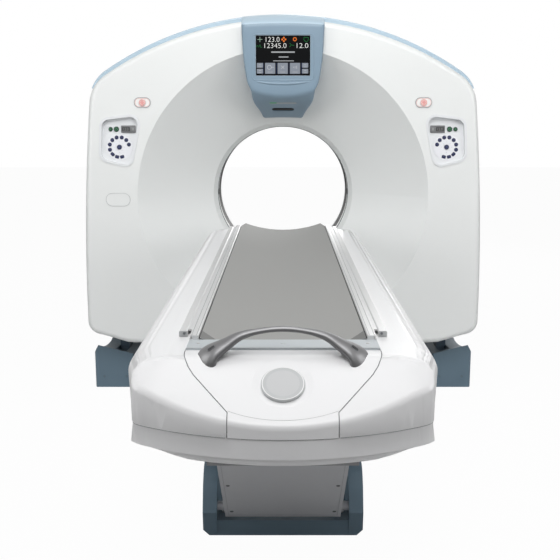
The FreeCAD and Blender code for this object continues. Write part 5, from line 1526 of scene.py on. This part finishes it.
    def skirt_crease_shade(self, shell: bpy.types.Object) -> None:
        """Grey line that runs round the shell over its skirt: painted shade in the crease where the skirt steps in.

        Args:
            shell: the formed shell that it lies on.
        """
        path = []
        middle = Vector((0.0, self.foot_middle[1], self.skirt_z))
        for turn in range(-88, 89, 2):
            out = self.outward(turn)
            path += dropped([tuple(middle + out)], shell, tuple(-out), -0.0001)
        reach = path[-1][0]
        path = [(-reach, -0.75, self.skirt_z)] + path + [(reach, -0.75, self.skirt_z)]
        settle(bead(path, 0.0010), "skirt_crease_shade", CREASE_SHADE, self.shell_body, "rubber_black")

    def seam(self, shell: bpy.types.Object) -> None:
        """Dark joint between the shell and the tail cover, down and across the apron.

        Args:
            shell: the formed shell that it lies on.
        """
        # x, y of the tail cover's edge seen from above, then x, z of its apron
        top = [(0.2321, -2.842), (0.2321, -2.855), (0.2306, -2.876), (0.2263, -2.897), (0.2175, -2.917),
               (0.2043, -2.937), (0.180, -2.9638), (0.155, -2.9913), (0.135, -3.0131), (0.122, -3.0275),
               (0.122, -3.040), (0.122, -3.048)]
        low = [(0.122, 0.776), (0.1215, 0.764), (0.118, 0.756), (0.110, 0.7525), (0.090, 0.7515), (0.045, 0.7515),
               (0.0, 0.7515)]
        gap = 0.0022  # from the tail cover's edge to the shell's surface
        for side, name in SIDES:
            from_top = dropped([(side * (x + gap), y, 0.95) for x, y in top], shell, DOWN, -0.0003)
            from_foot = dropped([(side * (x + gap), -3.2, z - 0.0016) for x, z in low], shell, REAR, -0.0002)
            path = [(x - side * gap, y, z) for x, y, z in from_top]
            path += [(x - side * gap, y, z + 0.0012) for x, y, z in from_foot]
            settle(bead(path, 0.0012), "seam_line_" + name, SEAM_GREY, self.shell_body, "rubber_black")

    def handle(self) -> None:
        """Arched handle whose ends flatten and swell to leaf-shaped feet that run down into the tail cover."""
        mirrored = [(-x, y, z, broad, thin, -turn) for x, y, z, broad, thin, turn in reversed(HANDLE_KNOTS[1:])]
        track = smoothed(mirrored + list(HANDLE_KNOTS), 7)
        rings = []
        round_turns = [math.tau * step / 28 for step in range(28)]
        for number, (x, y, z, broad, thin, turn) in enumerate(track):
            before, after = track[max(0, number - 1)], track[min(len(track) - 1, number + 1)]
            along = (Vector(after[:3]) - Vector(before[:3])).normalized()
            wide = Vector((math.sin(math.radians(turn)), math.cos(math.radians(turn)), 0.0))
            wide = (wide - along * wide.dot(along)).normalized()
            deep = along.cross(wide)
            rings.append([tuple(Vector((x, y, z)) + wide * broad * math.cos(at) + deep * thin * math.sin(at))
                          for at in round_turns])
        piece = lofted(rings)
        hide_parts("cradle_handle")
        settle(piece, "cradle_handle_formed", SATIN_STEEL, self.cradle_body, "steel", 60.0)
        bpy.context.view_layer.update()
        for side, name in SIDES:
            _, spot, normal, _ = piece.closest_point_on_mesh(Vector((side * 0.1740, -2.904, 0.9270)))
            at, out, along = tuple(spot + normal * 0.0001), tuple(normal), (side * 0.66, 0.0, -0.75)
            # painted shade: a thin dark oval plate on each foot stands for the shade inside its slot
            slot = stood(rounded_plate(0.018, 0.0085, 0.0012, 0.0042), at, out, along)
            settle(slot, "handle_slot_" + name, DARK_ABS, self.cradle_body, "black_plastic")
            rim = stood(rounded_plate(0.0212, 0.0112, 0.0006, 0.0055), at, out, along)
            settle(rim, "handle_slot_rim_" + name, SATIN_DARK, self.cradle_body, "steel")

    def build(self) -> None:
        """Build everything on the table top."""
        shell = self.shell()
        self.seam(shell)
        self.skirt_crease_shade(shell)
        self.tub()
        self.under_flare(shell)
        self.shade_pan_corners()
        self.handle()
        self.fascia_line()
        self.roundel()
        self.strip_marks()
        self.pan_lines()
        self.rail_fittings()


# ---------------------------------------------------------------- bases and moving works

@dataclass
class Bases:
    """Screws, caps and lines of the gantry's base, the table's base and the lift."""

    def pod_screws(self) -> None:
        """Screws on the base's side covers."""
        sink = 0.0008
        places = []
        for side, _ in SIDES:
            places += [((side * (1.0100 - sink), y, 0.075), (side, 0.0, 0.0)) for y in (-0.24, 0.24)]
            places += [((side * x, facing[1] * (0.3300 - sink), 0.060), facing) for facing in (FRONT, REAR)
                       for x in (0.842, 0.962)]
        screws("pod_screws", 0.0060, 0.0016, places, SATIN_DARK, "base")

    def table_base_screws(self) -> None:
        """Anchors in the table base's floor plate and caps on its cross shafts."""
        places = [((x, y, 0.0572), UP) for x in (-0.205, 0.205) for y in (-1.95, -1.55, -1.22)]
        screws("base_anchors", 0.012, 0.008, places, STEEL, "base")
        discs = [turned_disc(0.020, 0.0024, (side * 0.2776, y, 0.100), (side, 0.0, 0.0), crown=0.0008)
                 for side, _ in SIDES for y in (-1.995, -1.400)]
        settle(merge(discs), "shaft_caps", BASE_SHADE, "base", "base_blue")

    def duct_lines(self) -> None:
        """Joints and screws of the floor duct's lid."""
        lines = [bead([(side * 0.104, -1.118, 0.0401), (side * 0.104, -0.292, 0.0401)], 0.0007) for side in (1, -1)]
        settle(merge(lines), "duct_lid_joints", BASE_SHADE, "base", "base_blue")
        places = [((x, y, 0.0404), UP) for x in (-0.112, 0.112) for y in (-1.05, -0.70, -0.36)]
        screws("duct_screws", 0.0042, 0.0016, places, STEEL, "base")

    def arm_fittings(self) -> None:
        """Screws of the front arm's cover, and a grey line of painted shade along its fold."""
        lean = math.radians(46.0)  # of the arm at rest, from upright
        along = Vector((0.0, -math.sin(lean), math.cos(lean)))
        facing = Vector((0.0, -math.cos(lean), -math.sin(lean)))
        foot = Vector((0.0, -1.995, 0.100))

        def on_arm(across: float, reach: float, lift: float) -> Point:
            """Place on the arm's front, from its lower pivot."""
            return tuple(foot + along * reach + facing * lift + Vector((across, 0.0, 0.0)))

        places = [(on_arm(across, reach, 0.0384), tuple(facing)) for across in (-0.176, 0.176)
                  for reach in (0.05, 0.30, 0.55, 0.76)]
        screws("arm_cover_screws", 0.0065, 0.002, places, SATIN_DARK, "front_arm")
        corners = ((-0.188, 0.012), (-0.188, 0.778), (0.188, 0.778), (0.188, 0.012))
        # painted shade: a darker grey line along the fold of the cover
        fold = bead([on_arm(across, reach, 0.0381) for across, reach in corners], 0.0008, closed=True)
        settle(fold, "arm_cover_fold_shade", ARM_SHADE, "front_arm", "arm_grey")

    def post_screws(self) -> None:
        """Screws round the tilt bushing on the right post; the tilt drive covers the left one's."""
        turns = [math.radians(45 * i + 22.5) for i in range(8)]
        places = [((0.9254, 0.086 * math.cos(turn), ISO_Z + 0.086 * math.sin(turn)), (1.0, 0.0, 0.0)) for turn in turns]
        screws("post_screws", 0.009, 0.006, places, STEEL, "base")

    def build(self) -> None:
        """Build everything on the bases and the arms."""
        self.pod_screws()
        self.table_base_screws()
        self.duct_lines()
        self.arm_fittings()
        self.post_screws()


@dataclass
class Rotor:
    """Screws, tracks and fittings of the works behind the covers."""

    body: str = "rotor"

    def tracks(self) -> None:
        """Copper tracks on the slip ring."""
        tracks = [ring(radius, 0.0022, (0.0, 0.1515, ISO_Z), REAR, 96)
                  for radius in (0.634, 0.646, 0.658, 0.670, 0.681)]
        settle(merge(tracks), "slip_tracks", COPPER, self.body, "steel")

    def disc_screws(self) -> None:
        """Screws of the inner bearing ring on the disc."""
        screws("disc_screws", 0.009, 0.006, circle(24, 0.432, 0.0988, FRONT), STEEL, self.body)

    def frame_screws(self) -> None:
        """Screws of the outer bearing ring on the tilting frame."""
        screws("frame_screws", 0.010, 0.006, circle(24, 0.655, 0.2548, REAR, 7.5), STEEL, "gantry")

    def tube_bands(self) -> None:
        """Clamp bands and end cap of the tube housing."""
        tube_rise = 0.571
        bands = [ring(0.0885, 0.0022, (0.0, y, ISO_Z + tube_rise), REAR) for y in (-0.11, 0.04)]
        settle(merge(bands), "tube_bands", SATIN_DARK, self.body, "steel")
        screws("tube_end_screws", 0.006, 0.003, circle(6, 0.055, -0.1506, FRONT, rise=tube_rise), STEEL, self.body)

    def build(self) -> None:
        """Build everything on the rotor and its frame."""
        self.tracks()
        self.disc_screws()
        self.frame_screws()
        self.tube_bands()


# ---------------------------------------------------------------- room

LAMPS = (
    # name, place, aim, side of the square in metres, watts
    ("front_softbox", (0.0, -5.2, 5.0), (0.0, -1.2, 0.9), 3.0, 138.0),
    ("table_softbox", (0.0, -2.7, 3.3), (0.0, -0.4, 1.0), 2.2, 27.0),
    ("gantry_softbox", (0.0, -1.6, 3.9), (0.0, -0.4, 1.0), 1.6, 15.0),
    ("left_softbox", (-2.9, -2.7, 1.7), (-0.1, -0.5, 1.1), 1.8, 30.0),
    ("right_softbox", (2.9, -2.7, 1.7), (0.1, -0.5, 1.1), 1.8, 30.0),
    ("rear_softbox", (1.5, 4.5, 3.0), (0.0, 0.0, 1.0), 3.0, 100.0),
)


@dataclass
class Studio:
    """Camera at the photographed place, soft lamps, pale floor."""

    camera_at: Point = (0.0, -4.84, 1.44)
    pitch_deg: float = 10.7
    focal_px: float = 870.0
    frame_px: int = 560
    middle_px: float = 283.0
    sensor_mm: float = 36.0
    sky_strength: float = 0.04
    floor_size: float = 40.0
    floor_drop: float = 0.0005
    floor_white: float = 0.97  # share of plain white that the camera sees on the floor

    def camera(self) -> None:
        """Place the camera."""
        lens = bpy.data.cameras.new("camera")
        lens.sensor_width = self.sensor_mm
        lens.sensor_fit = "HORIZONTAL"
        lens.lens = self.focal_px / self.frame_px * self.sensor_mm
        lens.shift_x = (self.frame_px / 2 - self.middle_px) / self.frame_px
        eye = linked("camera", lens)
        eye.location = self.camera_at
        eye.rotation_euler = (math.radians(90 - self.pitch_deg), 0.0, 0.0)
        bpy.context.scene.camera = eye

    def lamp(self, name: str, at: Point, aim: Point, size: float, watts: float) -> None:
        """Hang one soft square lamp."""
        light = bpy.data.lights.new(name, "AREA")
        light.shape = "SQUARE"
        light.size = size
        light.energy = watts
        lamp = linked(name, light)
        lamp.location = at
        lamp.rotation_euler = (Vector(aim) - Vector(at)).to_track_quat("-Z", "Y").to_euler()

    def world(self) -> None:
        """White behind the object, a soft sky over it."""
        sky = bpy.data.worlds.new("studio")
        bpy.context.scene.world = sky
        sky.use_nodes = True
        tree = sky.node_tree
        soft = tree.nodes["Background"]
        soft.inputs["Color"].default_value = linear("F7F9FB")
        soft.inputs["Strength"].default_value = self.sky_strength
        white = add_node(tree, "ShaderNodeBackground", {"Color": WHITE, "Strength": 1.0})
        path = add_node(tree, "ShaderNodeLightPath")
        seen = add_node(tree, "ShaderNodeMath", {"operation": "MAXIMUM"},
                        {0: path.outputs["Is Camera Ray"], 1: path.outputs["Is Transmission Ray"]})
        mirrored = add_node(tree, "ShaderNodeMath", {"operation": "MAXIMUM"},
                            {0: seen.outputs[0], 1: path.outputs["Is Glossy Ray"]})
        mix = add_node(tree, "ShaderNodeMixShader", {}, {0: mirrored.outputs[0], 1: soft.outputs[0],
                                                         2: white.outputs[0]})
        tree.links.new(mix.outputs[0], tree.nodes["World Output"].inputs["Surface"])

    def floor(self) -> None:
        """Lay the pale floor, which keeps a faint shadow."""
        clear_selection()
        bpy.ops.mesh.primitive_plane_add(size=self.floor_size, location=(0.0, 0.0, -self.floor_drop))
        ground = bpy.context.object
        ground.name = "floor"
        paint = bpy.data.materials.new("floor_paint")
        paint.use_nodes = True
        tree = paint.node_tree
        shader = tree.nodes["Principled BSDF"]
        shader.inputs["Base Color"].default_value = linear("D2D2D2")
        shader.inputs["Roughness"].default_value = 0.9
        white = add_node(tree, "ShaderNodeEmission", {"Color": WHITE, "Strength": 1.0})
        path = add_node(tree, "ShaderNodeLightPath")
        seen = add_node(tree, "ShaderNodeMath", {"operation": "MULTIPLY", 1: self.floor_white},
                        {0: path.outputs["Is Camera Ray"]})
        mix = add_node(tree, "ShaderNodeMixShader", {}, {0: seen.outputs[0], 1: shader.outputs[0],
                                                         2: white.outputs[0]})
        tree.links.new(mix.outputs[0], tree.nodes["Material Output"].inputs["Surface"])
        ground.data.materials.append(paint)

    def build(self) -> None:
        """Set up camera, lamps, world and floor."""
        bpy.context.scene.view_settings.view_transform = "Standard"
        self.camera()
        for name, at, aim, size, watts in LAMPS:
            self.lamp(name, at, aim, size, watts)
        self.world()
        self.floor()


def main() -> None:
    """Build the looks of the scanner and report each piece."""
    logging.basicConfig(level=logging.INFO, format="%(message)s")
    Studio().build()
    PackedSolids().dress()
    for part in (DisplayHead(), OperatorPanel(side=1), OperatorPanel(side=-1), EmergencyStop(side=1),
                 EmergencyStop(side=-1), GantryCovers(), TableTop(), Bases(), Rotor()):
        part.build()
        LOG.info("finished %s", type(part).__name__)


if __name__ == "__main__":
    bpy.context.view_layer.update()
    main()
